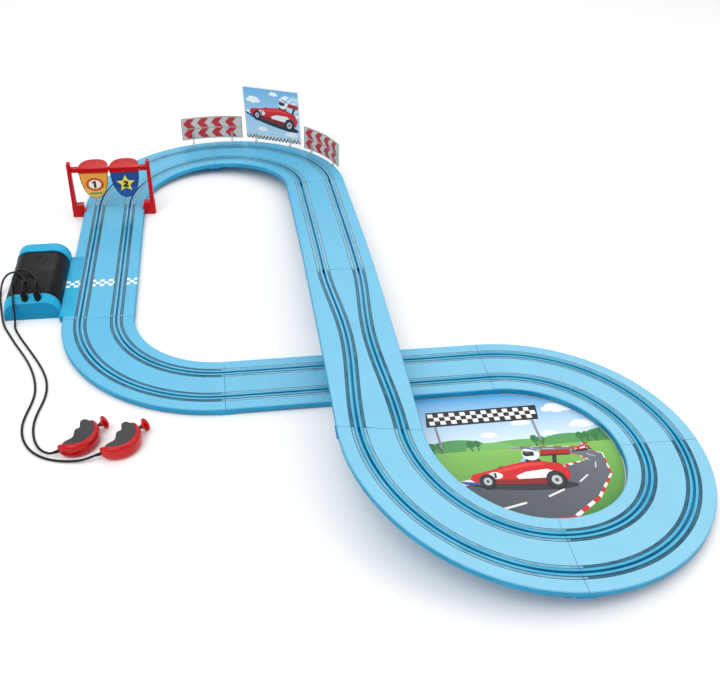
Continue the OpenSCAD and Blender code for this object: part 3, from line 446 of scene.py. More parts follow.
def make_materials():
    """One material for each finish of the set."""
    MATERIALS.update({
        # ABS, injection moulded in a lightly spark-eroded tool: a satin top with a faint, even grain,
        # drawn coarser than the real 0.3 mm so that it shows
        # its colour holds painted shade on the walls and towards the far end and the underpass
        "track": surface("Moulded_Blue_ABS", track_paint, (0.42, 0.52), 1.6, 0.05, **{"Specular IOR Level": 0.35}),
        # Cold-rolled steel strip, dulled by use: soft streaks of light, with the deck's blue painted into its colour
        # as a painted reflection
        "rail": surface("Rolled_Steel_Strip", ("#70aac4", "#90c3d8"), (0.32, 0.47), 1.2, 0.03, patch=14,
                        metallic=0.3),
        # The same strip, darker, on four of the track pieces, with the deck's blue painted in as a painted reflection
        "dark_rail": surface("Dark_Steel_Strip", ("#2b5f76", "#4a8098"), (0.3, 0.45), 1.2, 0.03, patch=14,
                             metallic=0.55),
        # The slot's floor and walls: the same ABS, smooth, painted a darker teal as painted shade, since the slot
        # lies in shade
        "lining": surface("Painted_Slot_Shade_ABS", ("#1c8fb6", "#2ca3c9"), (0.3, 0.4), 2.0, 0.02),
        # The ribs beside a slot: the same ABS in a deeper blue, with more gloss than the deck
        "rib": surface("Deep_Blue_Rib_ABS", ("#3ba8d2", "#55b9de"), (0.26, 0.36), 2.0, 0.02),
        # ABS clips and piers, moulded plain in the deeper blue: a soft, even shine
        "skirt_plastic": surface("Moulded_Cyan_ABS", ("#1a93cc", "#1786bd"), (0.38, 0.5), 1.4, 0.04),
        # Offset print under a thin varnish: even, slightly shiny colours
        "print": surface("Varnished_Print", printed_paint, (0.3, 0.42), 0.9, 0.01, **{"Coat Weight": 0.15}),
        # Uncoated grey board at the card's cut edge: dull and fibrous
        "card": surface("Grey_Board", ("#cfd2cc", "#dcdeda"), (0.7, 0.85), 0.8, 0.05),
        # Polypropylene sheet, pale, with a soft sheen
        "panel": surface("Pale_Polypropylene_Sheet", ("#cfcac2", "#dedbd4"), (0.4, 0.55), 1.2, 0.03),
        # Clear polystyrene clips: milky at the edges
        "clear": surface("Clear_Polystyrene", ("#e9f2f6", "#f6fbfd"), (0.08, 0.2), 1.5, 0.01,
                         **{"Transmission Weight": 0.55, "IOR": 1.59}),
        # High-gloss ABS, moulded in red: tight highlights on a faint orange-peel
        "gantry": surface("Glossy_Red_ABS", ("#b8060c", "#c60c12"), (0.24, 0.36), 3.0, 0.02,
                          **{"Specular IOR Level": 0.14, "Coat Weight": 0.05, "Coat Roughness": 0.1}),
        # The same ABS in a deeper red, with a fainter gloss over it
        "hood": surface("Glossy_Deep_Red_ABS", ("#b80509", "#c6080e"), (0.24, 0.34), 3.0, 0.02,
                        **{"Specular IOR Level": 0.1, "Coat Weight": 0.04, "Coat Roughness": 0.08}),
        # Polystyrene plates, moulded and dyed through: an even colour with a soft shine
        "shield_orange": surface("Orange_Polystyrene", ("#ea8f22", "#f2a436"), (0.3, 0.4), 1.5, 0.02),
        "shield_navy": surface("Navy_Polystyrene", ("#16306e", "#1f4590"), (0.3, 0.4), 1.5, 0.02),
        # ABS in a brighter cyan, moulded with the track's satin, its front face painted in a deeper tone as painted
        # shade
        "housing": surface("Moulded_Bright_Cyan_ABS", housing_paint, (0.34, 0.44), 1.6, 0.05,
                           **{"Specular IOR Level": 0.2}),
        # ABS from a blasted tool face: dull, with no clear highlight
        "housing_under": surface("Matt_Blue_ABS", ("#1079ad", "#1486bd"), (0.5, 0.62), 1.2, 0.04),
        # Black high-impact polystyrene: soft grey highlights with light scuffs
        "black_plastic": surface("Black_Polystyrene", ("#060509", "#0e0d11"), (0.3, 0.46), 1.4, 0.03, patch=18,
                                 **{"Specular IOR Level": 0.14}),
        # PVC sleeve shrunk on the cells: taut and smooth, with a clear highlight
        "cell_wrap": surface("Shrink_Sleeve", ("#2c3036", "#474d55"), (0.22, 0.34), 2.0, 0.02),
        # Rolled spring brass: warm yellow metal with soft streaks of light
        "contact": surface("Spring_Brass", ("#b8923a", "#d0ac57"), (0.25, 0.4), 0.8, 0.02, patch=6, metallic=1.0),
        # Solder mask on a circuit board: a green lacquer with a low shine
        "board": surface("Green_Solder_Mask", ("#1c6a3c", "#2a7f4c"), (0.3, 0.42), 1.0, 0.03),
        # Zinc-plated steel: cold, bright grey with small highlights
        "screw_steel": surface("Zinc_Plated_Steel", ("#a9adb2", "#c5c8cc"), (0.22, 0.36), 0.7, 0.02, patch=5,
                               metallic=1.0),
        # Black-oxide steel, oiled: nearly black, with a dull glint on its edges
        "dark_screw": surface("Black_Oxide_Steel", ("#2a2a2e", "#3d3d42"), (0.32, 0.48), 0.7, 0.02, patch=5,
                              metallic=0.9),
        # Soft black PVC sheath with a slight sheen
        "cord": surface("Soft_Black_PVC", ("#0c0c0d", "#141416"), (0.4, 0.55), 1.0, 0.03, patch=12,
                        **{"Specular IOR Level": 0.3}),
        # ABS from a polished tool: the shiniest red, with narrow highlights along the bar
        "red_plastic": surface("Polished_Red_ABS", ("#b8070d", "#c60d13"), (0.14, 0.24), 3.0, 0.02,
                               **{"Specular IOR Level": 0.3, "Coat Weight": 0.12, "Coat Roughness": 0.08}),
        # Thermoplastic rubber, matt and finely pebbled
        "grip": surface("Matt_Grey_Rubber", ("#3a393c", "#48474a"), (0.55, 0.7), 0.9, 0.08,
                        **{"Specular IOR Level": 0.3}),
        # Turned acetal rod: black and waxy, with one soft highlight along it
        "rod": surface("Black_Acetal", ("#17171a", "#232327"), (0.28, 0.4), 1.2, 0.02),
        # The narrow shadow beside a rail, where its groove is too fine to show: a painted shadow in dark, matt ABS
        "seam": surface("Dark_Blue_Shadow_Line", ("#103f5a", "#17506e"), (0.6, 0.7), 1.0, 0.01),
    })


# ---- Prints: flat shapes with an ink colour, painted in order ----
def disc(x, y, rx, tint, ry=None, sides=36, first=0.0, last=360.0):
    """A round or oval, or the part of one between two angles in degrees."""
    ry = rx if ry is None else ry
    whole = abs(last - first) >= 360
    turns = [math.radians(first + (last - first) * k / sides) for k in range(sides if whole else sides + 1)]
    return [([(x + rx * math.cos(q), y + ry * math.sin(q)) for q in turns], tint)]


def shape(points, tint):
    """A flat shape of one colour."""
    return [(list(points), tint)]


def fade(left, bottom, right, top, low, high, rows=8):
    """A block of colour that goes from low to high."""
    made = []
    a, b = linear(low), linear(high)
    for k in range(rows):
        y0, y1 = bottom + (top - bottom) * k / rows, bottom + (top - bottom) * (k + 1) / rows
        tone = [tuple(p + (q - p) * s for p, q in zip(a, b)) for s in (k / rows, (k + 1) / rows)]
        made.append(([(left, y0), (right, y0), (right, y1), (left, y1)], [tone[0], tone[0], tone[1], tone[1]]))
    return made


def stroke(points, width, tint):
    """A line of even width through the points."""
    left, right = [], []
    for k, p in enumerate(points):
        a, b = points[max(k - 1, 0)], points[min(k + 1, len(points) - 1)]
        length = math.hypot(b[0] - a[0], b[1] - a[1])
        nx, ny = -(b[1] - a[1]) / length * width / 2, (b[0] - a[0]) / length * width / 2
        left.append((p[0] + nx, p[1] + ny))
        right.append((p[0] - nx, p[1] - ny))
    return shape(left + right[::-1], tint)


def squares(x, y, columns, rows, size, dark="#15171c", light="#f7f7f5", slant=0.0):
    """A chequered block from its lower left corner."""
    def corner(i, j):
        return x + i * size, y + j * size + i * size * slant
    made = shape([corner(0, 0), corner(columns, 0), corner(columns, rows), corner(0, rows)], light)
    for i in range(columns):
        for j in range(rows):
            if (i + j) % 2:
                made += shape([corner(i, j), corner(i + 1, j), corner(i + 1, j + 1), corner(i, j + 1)], dark)
    return made


def star(x, y, outer, inner, tint, points=5):
    """A plain star round a middle."""
    turns = [(math.radians(90 + 180 * k / points), inner if k % 2 else outer) for k in range(2 * points)]
    return shape([(x + r * math.cos(q), y + r * math.sin(q)) for q, r in turns], tint)


def numeral(value, x, y, height, tint):
    """A plain 1 or 2 round a middle."""
    h, w = height / 2, height * 0.16
    if value == 1:
        return shape([(x - w, y - h), (x + w, y - h), (x + w, y + h), (x - w * 0.4, y + h),
                      (x - w * 2.4, y + h * 0.5), (x - w * 2.0, y + h * 0.2), (x - w, y + h * 0.48)], tint)
    r = height * 0.22
    arc = [(x + r * math.cos(math.radians(q)), y + h - w - r + r * math.sin(math.radians(q)))
           for q in range(170, -46, -18)]
    made = stroke(arc + [(x - r * 0.9, y - h + w * 2)], w * 1.9, tint)
    return made + shape([(x - r - w, y - h), (x + r + w, y - h), (x + r + w, y - h + w * 1.9),
                         (x - r - w, y - h + w * 1.9)], tint)


def cloud(x, y, size):
    """A cloud of five soft ovals."""
    made = []
    for dx, dy, r in ((-1.2, -0.1, 0.6), (1.1, -0.15, 0.65), (-0.4, 0.25, 0.85), (0.5, 0.2, 0.75), (0, -0.2, 0.8)):
        made += disc(x + dx * size, y + dy * size, r * size, "#fbfdff", r * size * 0.72, sides=20)
    return made


def wheel(x, y, r):
    """A tyre, its side, a rim and a hub, seen a little from the front."""
    made = []
    for dx, dy, size, tint in ((0, 0, 1, "#15171a"), (-0.06, 0.02, 0.82, "#2b2f34"), (0, 0, 0.5, "#c4cad0"),
                               (0, 0, 0.2, "#4a5058")):
        made += disc(x + dx * r, y + dy * r, r * 0.8 * size, tint, r * size)
    return made


def toy_car(x, y, scale, lean=0.0):
    """A plain open-wheel racing car seen from the front left, with a plain helmet."""
    def put(shapes):
        made = []
        for points, tint in shapes:
            spots = [turned(px * scale, py * scale, lean) for px, py in points]
            made.append(([(x + px, y + py) for px, py in spots], tint))
        return made
    car = disc(-2, -7, 62, "#27313a", 9)
    car += wheel(-24, 12, 10) + wheel(40, 17, 12)
    car += shape([(36, 26), (41, 26), (44, 44), (39, 44)], "#2a2e35")
    car += shape([(24, 42), (60, 45), (62, 52), (26, 49)], "#b80f18")
    car += shape([(24, 42), (60, 45), (60, 43), (24, 40)], "#6f0a10")
    car += shape([(-64, 0), (-56, -7), (34, -6), (52, 2), (54, 16), (44, 27), (24, 31), (4, 30), (-16, 24),
                  (-42, 14), (-60, 8)], "#d3141c")
    car += shape([(-58, 6), (-40, 12), (-16, 21), (4, 27), (22, 28), (26, 25), (6, 22), (-18, 15), (-44, 7)],
                 "#ee3b40")
    car += shape([(-52, -6), (30, -6), (46, 0), (44, 4), (-8, 1), (-50, -1)], "#8f0b13")
    car += shape([(-8, 1), (30, 4), (36, 14), (28, 18), (2, 13), (-10, 6)], "#f3f4f2")
    car += shape([(-64, 0), (-56, -7), (-70, -8), (-76, -3)], "#f3f4f2")
    car += shape([(-76, -3), (-70, -8), (-40, -10), (-36, -7), (-56, -5)], "#1f53a6")
    car += disc(-34, 6.5, 8.5, "#f6f6f3", 5.4) + numeral(1, -34, 6.5, 8, "#22252b")
    car += shape([(-2, 29), (24, 31), (20, 36), (2, 35)], "#1b1e24")
    car += shape([(-2, 29), (4, 38), (8, 38), (4, 30)], "#9fd0ea")
    car += disc(13, 43, 10.5, "#f2f4f6", 11) + shape([(3, 42), (4.5, 48), (17, 47), (17, 40), (6, 38.5)], "#20262f")
    car += disc(9, 46, 3.4, "#6c7c8c", 1.1)
    car += shape([(6, 51.5), (12, 54), (20, 51), (22.5, 47), (18, 49), (12, 51.5)], "#1f53a6")
    car += wheel(-44, -3, 12) + wheel(36, 0, 15)
    return put(car)


def infield_picture():
    """A racing scene for the card: sky, hills, a curving road with kerbs, a red car and a chequered banner."""
    art = fade(-120, 20, 120, 120, "#e6f5fd", "#4ba9e2", 10)
    art += fade(-120, -120, 120, 22, "#2f7d34", "#86c25a", 8)
    for x, y, size in ((70, 84, 11), (18, 62, 7), (92, 52, 9), (-26, 44, 6), (48, 40, 5)):
        art += cloud(x, y, size)
    for x, rx, ry, tint in ((-70, 42, 20, "#4f9a58"), (6, 50, 13, "#6cb260"), (66, 40, 17, "#559f57"),
                            (112, 30, 22, "#468c4f"), (-30, 30, 11, "#79bd68")):
        art += disc(x, 20, rx, tint, ry, sides=30, first=0, last=180)
    for k, x in enumerate((-108, -98, -88, -52, -44, 26, 34, 82, 90, 100)):
        art += shape([(x - 0.8, 19), (x + 0.8, 19), (x + 0.8, 27), (x - 0.8, 27)], "#5f4630")
        art += disc(x, 30 + k % 3, 4.6, "#2f7a3e", 5.6 + k % 2, sides=14)
    # the road: points along its middle, with its width there
    line = [(-150, -96, 96), (-96, -84, 92), (-40, -74, 86), (14, -62, 74), (56, -44, 54), (82, -24, 34),
            (88, -6, 20), (70, 6, 12), (44, 12, 7), (18, 16, 4), (-10, 19, 2)]
    left, right = [], []
    for k, (x, y, width) in enumerate(line):
        a, b = line[max(k - 1, 0)], line[min(k + 1, len(line) - 1)]
        length = math.hypot(b[0] - a[0], b[1] - a[1])
        nx, ny = -(b[1] - a[1]) / length, (b[0] - a[0]) / length
        left.append((x + nx * width / 2, y + ny * width / 2, width, nx, ny))
        right.append((x - nx * width / 2, y - ny * width / 2, width, nx, ny))
    far, near = linear("#7b828c"), linear("#3a3e46")
    for k in range(len(line) - 1):
        tone = [tuple(p + (q - p) * min(1, s / 9) for p, q in zip(near, far)) for s in (k, k + 1)]
        quad = [left[k][:2], right[k][:2], right[k + 1][:2], left[k + 1][:2]]
        art.append((quad, [tone[0], tone[0], tone[1], tone[1]]))
    for edge, out in ((left, 1), (right, -1)):
        for k in range(len(line) - 1):
            parts = max(1, int(7 - k * 0.5))
            for j in range(parts):
                corners = []
                for s, deep in ((j / parts, 0), ((j + 1) / parts, 0), ((j + 1) / parts, 1), (j / parts, 1)):
                    x, y, width, nx, ny = (p + (q - p) * s for p, q in zip(edge[k], edge[k + 1]))
                    push = out * deep * width * 0.075
                    corners.append((x + nx * push, y + ny * push))
                art += shape(corners, "#d9222a" if (j + k) % 2 else "#f6f5f2")
    for k in range(1, len(line) - 2):
        x, y, width = line[k]
        bx, by, _ = line[k + 1]
        art += stroke([(x, y), (x + (bx - x) * 0.5, y + (by - y) * 0.5)], max(0.5, width * 0.035), "#eef0ee")
    art += toy_car(76, 8, 0.20, 4)
    art += toy_car(-4, -34, 0.98, -7)
    for x in (-88, 32):
        art += shape([(x, 28), (x + 3, 28), (x + 3, 68), (x, 68)], "#8a929a")
    art += shape([(-97, 66), (42, 66), (46, 92), (-93, 92)], "#15171c") + squares(-92, 69, 20, 3, 6.7)
    art += shape([(4, -110), (66, -110), (70, -94), (8, -94)], "#c8141c")
    art += shape([(12, -106), (60, -106), (61, -103), (13, -103)], "#f5f4f1")
    art += shape([(13, -101), (62, -101), (63, -98), (14, -98)], "#f5f4f1")
    art += numeral(1, -8, -101, 18, "#f5f4f1")
    return art


def billboard_picture(width, height):
    """A sky with clouds, a red car on a strip of road and a chequered band."""
    half = width / 2
    art = fade(-half, 0, half, height, "#cfeafa", "#6fb9e6", 8)
    for x, y, size in ((-36, 74, 8), (34, 80, 9), (44, 52, 6), (-46, 50, 5), (6, 88, 5), (-20, 20, 6), (38, 16, 7)):
        art += cloud(x, y, size)
    for r, tint in ((17, "#a9d6f1"), (13.5, "#d4edfb"), (10, "#a9d6f1"), (6.5, "#d4edfb")):
        art += disc(half - 10, height - 26, r, tint)
    art += shape([(-half, 0), (half, 0), (half, 7), (-half, 7)], "#f7f7f5") + squares(-half, 0, 32, 2, width / 32)
    art += toy_car(6, 40, 0.82, -13)
    frame_line = 1.2
    for a, b, c, d in ((-half, 0, -half + frame_line, height), (half - frame_line, 0, half, height),
                       (-half, height - frame_line, half, height)):
        art += shape([(a, b), (c, b), (c, d), (a, d)], "#e8eef2")
    return art


def shield_picture(value):
    """A rim, a field and a plain numeral for one lap shield."""
    outline = half_oval(22.2, 44)
    field = [(x * 0.93, y * 0.955 - 0.6) for x, y in outline]
    if value == 1:
        art = shape(outline, "#7a3d10") + shape(field, "#f2a02c")
        art += shape([(x * 0.93, y * 0.955 - 0.6) for x, y in outline if y < -24], "#f7b84a")
        art += disc(0, -19, 13.6, "#7a2a12", 11.2) + disc(0, -19, 12.6, "#e8481f", 10.2)
        art += disc(0, -19, 9.6, "#fbf3d8", 7.6) + numeral(1, 0, -19, 12.5, "#2a1a12")
        art += shape([(-11, -36), (11, -36), (9, -33), (-9, -33)], "#5c9c3a")
    else:
        art = shape(outline, "#0d1d49") + shape(field, "#1d3f8c")
        art += shape([(x * 0.93, y * 0.955 - 0.6) for x, y in outline if y < -26], "#27509f")
        art += star(0, -19.5, 16.2, 7.6, "#8a6a12") + star(0, -19.5, 14.6, 6.8, "#f6e04c")
        art += numeral(2, 0, -20, 11.5, "#2a2410")
    return art


def half_oval(width, depth, count=40, power=2.1):
    """Half an oval that hangs down from a level line; a power over 2 makes it squarer."""
    made = []
    for k in range(count + 1):
        a = math.pi * k / count
        c = math.cos(a)
        made.append((-width * math.copysign(abs(c) ** (2 / power), c), -depth * math.sin(a) ** (2 / power)))
    return made


def clipped(points, tones, outline):
    """The part of a shape inside a convex outline that runs anticlockwise."""
    for (ax, ay), (bx, by) in zip(outline, outline[1:] + outline[:1]):
        if math.hypot(bx - ax, by - ay) < 1e-6:
            continue
        kept, kept_tones = [], []
        for k, (p, tone) in enumerate(zip(points, tones)):
            q, other = points[k - 1], tones[k - 1]
            here = (bx - ax) * (p[1] - ay) - (by - ay) * (p[0] - ax)
            there = (bx - ax) * (q[1] - ay) - (by - ay) * (q[0] - ax)
            if (here >= 0) != (there >= 0):
                s = there / (there - here)
                kept.append((q[0] + (p[0] - q[0]) * s, q[1] + (p[1] - q[1]) * s))
                kept_tones.append(tuple(m + (n - m) * s for m, n in zip(other, tone)))
            if here >= 0:
                kept.append(p)
                kept_tones.append(tone)
        points, tones = kept, kept_tones
        if len(points) < 3:
            return [], []
    return points, tones


def tidy_points(points, tones):
    """A shape without repeated points."""
    kept, kept_tones = [], []
    for p, tone in zip(points, tones):
        if not kept or math.hypot(p[0] - kept[-1][0], p[1] - kept[-1][1]) > 1e-3:
            kept.append(p)
            kept_tones.append(tone)
    while len(kept) > 2 and math.hypot(kept[0][0] - kept[-1][0], kept[0][1] - kept[-1][1]) <= 1e-3:
        kept.pop()
        kept_tones.pop()
    area = sum(a[0] * b[1] - a[1] * b[0] for a, b in zip(kept, kept[1:] + kept[:1])) / 2
    if abs(area) < 0.02:
        return [], []
    if area < 0:
        kept, kept_tones = kept[::-1], kept_tones[::-1]
    return kept, kept_tones


def print_sheet(name, picture, outline, origin, right, up, out, body, step=0.02, sink=0.03):
    """Lays a picture's shapes on a flat face, each as a thin slab of ink that stands over what it covers."""
    bm = bmesh.new()
    ink = bm.loops.layers.float_color.new("ink")
    laid = []
    for points, tint in picture:
        tones = [linear(tint)] * len(points) if isinstance(tint, str) else list(tint)
        points, tones = clipped(points, tones, outline)
        points, tones = tidy_points(points, tones)
        if len(points) < 3:
            continue
        xs, ys = [p[0] for p in points], [p[1] for p in points]
        box = (min(xs), min(ys), max(xs), max(ys))
        layer = 1 + max([q for b, q in laid if b[0] < box[2] - 0.01 and box[0] < b[2] - 0.01
                         and b[1] < box[3] - 0.01 and box[1] < b[3] - 0.01], default=0)
        laid.append((box, layer))
        low, high = [], []
        for x, y in points:
            spot = origin + right * x * MM + up * y * MM
            low.append(bm.verts.new(spot - out * sink * MM))
            high.append(bm.verts.new(spot + out * layer * step * MM))
        count = len(points)
        faces = [(bm.faces.new(high), tones), (bm.faces.new(low[::-1]), tones[::-1])]
        for k in range(count):
            j = (k + 1) % count
            wall = bm.faces.new((low[k], low[j], high[j], high[k]))
            faces.append((wall, [tones[k], tones[j], tones[j], tones[k]]))
        for face, colours in faces:
            for loop, colour in zip(face.loops, colours):
                loop[ink] = colour
    if right.cross(up).dot(out) < 0:
        bmesh.ops.reverse_faces(bm, faces=bm.faces)
    bm.normal_update()
    bmesh.ops.triangulate(bm, faces=[f for f in bm.faces if len(f.verts) > 4], ngon_method="EAR_CLIP")
    piece = from_bmesh(name, bm, MATERIALS["print"])
    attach(piece, body)
    return piece


# ---- Geometry Nodes: a shape repeated along a line or round a pivot ----
def repeat_tree():
    """The tree that repeats a shape: Count copies, each moved by Step and turned by Turn round Pivot."""
    tree = bpy.data.node_groups.get("Repeat_Shape")
    if tree:
        return tree
    tree = bpy.data.node_groups.new("Repeat_Shape", "GeometryNodeTree")
    for label, kind in (("Shape", "Geometry"), ("Count", "Int"), ("Step", "Vector"), ("Turn", "Vector"),
                        ("Pivot", "Vector"), ("Finish", "Material")):
        tree.interface.new_socket(label, in_out="INPUT", socket_type=f"NodeSocket{kind}")
    tree.interface.new_socket("Shape", in_out="OUTPUT", socket_type="NodeSocketGeometry")
    given = node(tree, "NodeGroupInput").outputs
    row = node(tree, "GeometryNodeMeshLine", inputs={"Count": given["Count"], "Offset": given["Step"]})
    copies = node(tree, "GeometryNodeInstanceOnPoints", inputs={"Points": row, "Instance": given["Shape"]})
    index = node(tree, "GeometryNodeInputIndex")
    turn = node(tree, "ShaderNodeVectorMath", given["Turn"], index, operation="SCALE")
    spun = node(tree, "GeometryNodeRotateInstances", inputs={
        "Instances": copies, "Rotation": turn, "Pivot Point": given["Pivot"], "Local Space": False})
    solid = node(tree, "GeometryNodeRealizeInstances", spun)
    dressed = node(tree, "GeometryNodeSetMaterial", inputs={"Geometry": solid, "Material": given["Finish"]})
    node(tree, "NodeGroupOutput", dressed)
    return tree


def repeated(name, bm, material, count, step=(0, 0, 0), turn=(0, 0, 0), pivot=(0, 0, 0), smooth_angle=None):
    """A shape repeated by the Repeat_Shape tree, as a plain mesh."""
    piece = from_bmesh(name, bm, material)
    rows = piece.modifiers.new("Repeat", "NODES")
    tree = rows.node_group = repeat_tree()
    values = {"Count": count, "Step": tuple(step), "Turn": tuple(turn), "Pivot": tuple(pivot), "Finish": material}
    for item in tree.interface.items_tree:
        if item.in_out == "INPUT" and item.name in values:
            rows[item.identifier] = values[item.name]
    settle(piece)
    if smooth_angle:
        smooth(piece, smooth_angle)
    return piece


def slab(points, low, high, to_place):
    """A flat plate with an outline, between two heights, placed by a function of x, y and height."""
    return loft([[to_place(x, y, height) for x, y in points] for height in (low, high)])


# ---- Sizes and colours a user may change ----
COLOUR = {"subtype": "COLOR", "size": 4, "min": 0, "max": 1}


class TrackFinish(bpy.types.PropertyGroup):
    """Colours and print sizes of the track."""
    # The deck's painted shade runs from the paler near colour to the darker far one
    deck_lit_near: FloatVectorProperty(name="Near deck", description="Deck colour at the near end",
                                   default=linear("#8acbe7"), **COLOUR)
    deck_shaded_far: FloatVectorProperty(name="Far deck", description="Deck colour at the far end",
                                  default=linear("#5ab7de"), **COLOUR)
    # painted shade on the skirts and slot walls
    painted_wall_shade: FloatVectorProperty(name="Walls", description="Colour of skirts and slot walls",
                               default=linear("#129ccb"), **COLOUR)
    housing: FloatVectorProperty(name="Housing", description="Colour of the battery housing",
                                 default=linear("#12a3d0"), **COLOUR)
    square: FloatProperty(name="Square", description="Side of a start line square", unit="LENGTH", default=0.006,
                          min=0.004, max=0.016)
    seam: FloatProperty(name="Seam", description="Width of the dark line at a joint", unit="LENGTH", default=0.0007,
                        min=0.0002, max=0.002)


class ControllerSizes(bpy.types.PropertyGroup):
    """Shape of the hand controllers' red shells."""
    width: FloatProperty(name="Width", description="Width of the red bar", unit="LENGTH", default=0.0095,
                         min=0.008, max=0.0095)
    height: FloatProperty(name="Height", description="Height of the red bar", unit="LENGTH", default=0.018,
                          min=0.016, max=0.019)
    groove: FloatProperty(name="Parting line", description="Depth of the line between the two halves",
                          unit="LENGTH", default=0.0004, min=0, max=0.001)


class PanelSizes(bpy.types.PropertyGroup):
    """Chevrons on the panels."""
    chevrons: IntProperty(name="Chevrons", description="Chevrons in a row", default=4, min=2, max=8)
    arm: FloatProperty(name="Arm", description="Width of a chevron's arm", unit="LENGTH", default=0.0135,
                       min=0.004, max=0.014)


class StageSizes(bpy.types.PropertyGroup):
    """Floor, light and camera."""
    lens: FloatProperty(name="Lens", description="Focal length on a 36 mm sensor", unit="CAMERA", default=45.12,
                        min=20, max=120)
    floor: FloatProperty(name="Floor", description="Side of the floor", unit="LENGTH", default=14.0, min=2, max=40)
    light: FloatProperty(name="Light", description="Power of the main light in watts", default=37.0, min=1, max=500)


# ---- The stage, in metres and degrees ----
# The camera stands CAMERA_DISTANCE from CAMERA_AIM, in the direction of CAMERA_BACK, and is rolled by CAMERA_ROLL
CAMERA_BACK, CAMERA_AIM = Vector((-0.13254, -0.79419, 0.59303)), Vector((0.05153, -0.11488, 0.009))
CAMERA_DISTANCE, CAMERA_ROLL = 1.1895, 1.769
FLOOR_Z = -0.0004
WORLD_LIGHT = 0.58
# Each light's name, place, aim, power as a share of the main one, and width
LIGHTS = (("Key_Light", (-1.2, -1.4, 2.6), (0, 0, 0), 1.0, 2.4),
          ("Fill_Light", (2.2, -0.6, 1.8), (0, 0, 0), 0.45, 2.6),
          ("Top_Light", (0.1, 0.9, 3.0), (0, 0, 0), 0.6, 3.2),
          ("Backdrop_Light", (0.0, 6.5, 3.5), (0, 6.5, 0), 2.2, 4.0))


# ---- Operators, one for each piece or group of like pieces ----
class TRACKSET_OT_stage(bpy.types.Operator):
    """Sets the camera, a pale floor and soft light"""
    bl_idname = "trackset.stage"
    bl_label = "Stage"

    def execute(self, context):
        sizes = context.scene.stage_sizes
        camera_data = bpy.data.cameras.new("Camera")
        camera_data.lens, camera_data.sensor_width = sizes.lens, 36
        camera_data.clip_start, camera_data.clip_end = 0.05, 60
        camera = add_object("Camera", camera_data)
        back, roll = CAMERA_BACK.normalized(), math.radians(CAMERA_ROLL)
        right = (-back).cross(UP).normalized()
        up = right.cross(-back)
        side, top = right * math.cos(roll) + up * math.sin(roll), up * math.cos(roll) - right * math.sin(roll)
        spot = CAMERA_AIM + back * CAMERA_DISTANCE
        camera.matrix_world = Matrix.Translation(spot) @ Matrix((side, top, back)).transposed().to_4x4()
        context.scene.camera = camera

        half = sizes.floor / 2
        bm = bmesh.new()
        corners = ((-half, -half), (half, -half), (half, half), (-half, half))
        bm.faces.new([bm.verts.new((x, y, FLOOR_Z)) for x, y in corners])
        # A sweep of matt white paper: no highlight, and a soft shadow
        paper = surface("Matt_White_Paper", ("#fcfdfd", "#ffffff"), (0.8, 0.9), 4.0, 0.01, patch=600)
        floor = from_bmesh("floor", bm, paper)

        for name, place, aim, power, size in LIGHTS:
            lamp = bpy.data.lights.new(name, "AREA")
            lamp.shape, lamp.size, lamp.energy = "DISK", size, sizes.light * power
            light = add_object(name, lamp)
            light.location = place
            light.rotation_euler = (Vector(aim) - Vector(place)).to_track_quat("-Z", "Y").to_euler()
        world = bpy.data.worlds.new("Soft_White")
        world.use_nodes = True
        backdrop = world.node_tree.nodes.get("Background")
        backdrop.inputs[0].default_value, backdrop.inputs[1].default_value = (1, 1, 1, 1), WORLD_LIGHT
        context.scene.world = world
        # each plastic shows in its own plain colour, without a film curve over it
        context.scene.view_settings.view_transform = "Standard"
        return {"FINISHED"}


def eased(points, steps=4):
    """A route smoothed through its points."""
    made = []
    for k in range(len(points) - 1):
        a, b = points[max(k - 1, 0)], points[k]
        c, d = points[k + 1], points[min(k + 2, len(points) - 1)]
        for j in range(steps):
            t = j / steps
            made.append(0.5 * ((2 * b) + (c - a) * t + (2 * a - 5 * b + 4 * c - d) * t * t
                               + (3 * b - a - 3 * c + d) * t ** 3))
    made.append(points[-1])
    for _ in range(6):
        made = [made[0]] + [a * 0.25 + b * 0.5 + c * 0.25 for a, b, c in zip(made, made[1:], made[2:])] + [made[-1]]
    return made


class TRACKSET_OT_cords(bpy.types.Operator):
    """Lays the two controller cords from their glands to their plugs"""
    bl_idname = "trackset.cords"
    bl_label = "Cords"

    def execute(self, context):
        for side, route in ROUTES.items():
            points = eased([at(*p) for p in reversed(route)])
            curve = bpy.data.curves.new(f"cord_{side}_sheath", "CURVE")
            curve.dimensions, curve.bevel_depth, curve.bevel_resolution = "3D", CORD_RADIUS * MM, 5
            curve.use_fill_caps = True
            line = curve.splines.new("POLY")
            line.points.add(len(points) - 1)
            for spot, p in zip(line.points, points):
                spot.co = (*p, 1.0)
            line.use_smooth = True
            curve.materials.append(MATERIALS["cord"])
            cord = add_object(f"cord_{side}_sheath", curve)
            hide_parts(f"cord_{side}")
            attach(cord, ROOT)
            plug = TRACKSET_OT_cords.plug(CORD_PLUG[side])
        return {"FINISHED"}

    @staticmethod
    def plug(name):
        """A plug: a wedge-shaped grip with ridges, a tapered relief over the cord and a pin below."""
        low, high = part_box(name)
        middle = Vector(((low.x + high.x) / 2, (low.y + high.y) / 2, 0))
        rings = []
        for z, wide, deep in PLUG_RINGS:
            # the grip is nearly square, the relief above it is round
            power = 0.5 if z < PLUG_BODY_TOP else 1.0
            ring = []
            for k in range(24):
                q = 2 * math.pi * (k + 0.5) / 24
                c, s = math.cos(q), math.sin(q)
                ring.append(middle + Vector((math.copysign(abs(c) ** power, c) * wide * MM,
                                             math.copysign(abs(s) ** power, s) * deep * MM, z * MM)))
            rings.append(ring)
        bm = loft(rings)
        join(bm, lathe([(0, 1.2), (0.4, 1.5), (14, 1.5)], middle + UP * low.z, UP, 24))
        piece = from_bmesh(f"{name}_moulding", bm, MATERIALS["black_plastic"], 35)
        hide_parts(name)
        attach(piece, ROOT)
        return piece


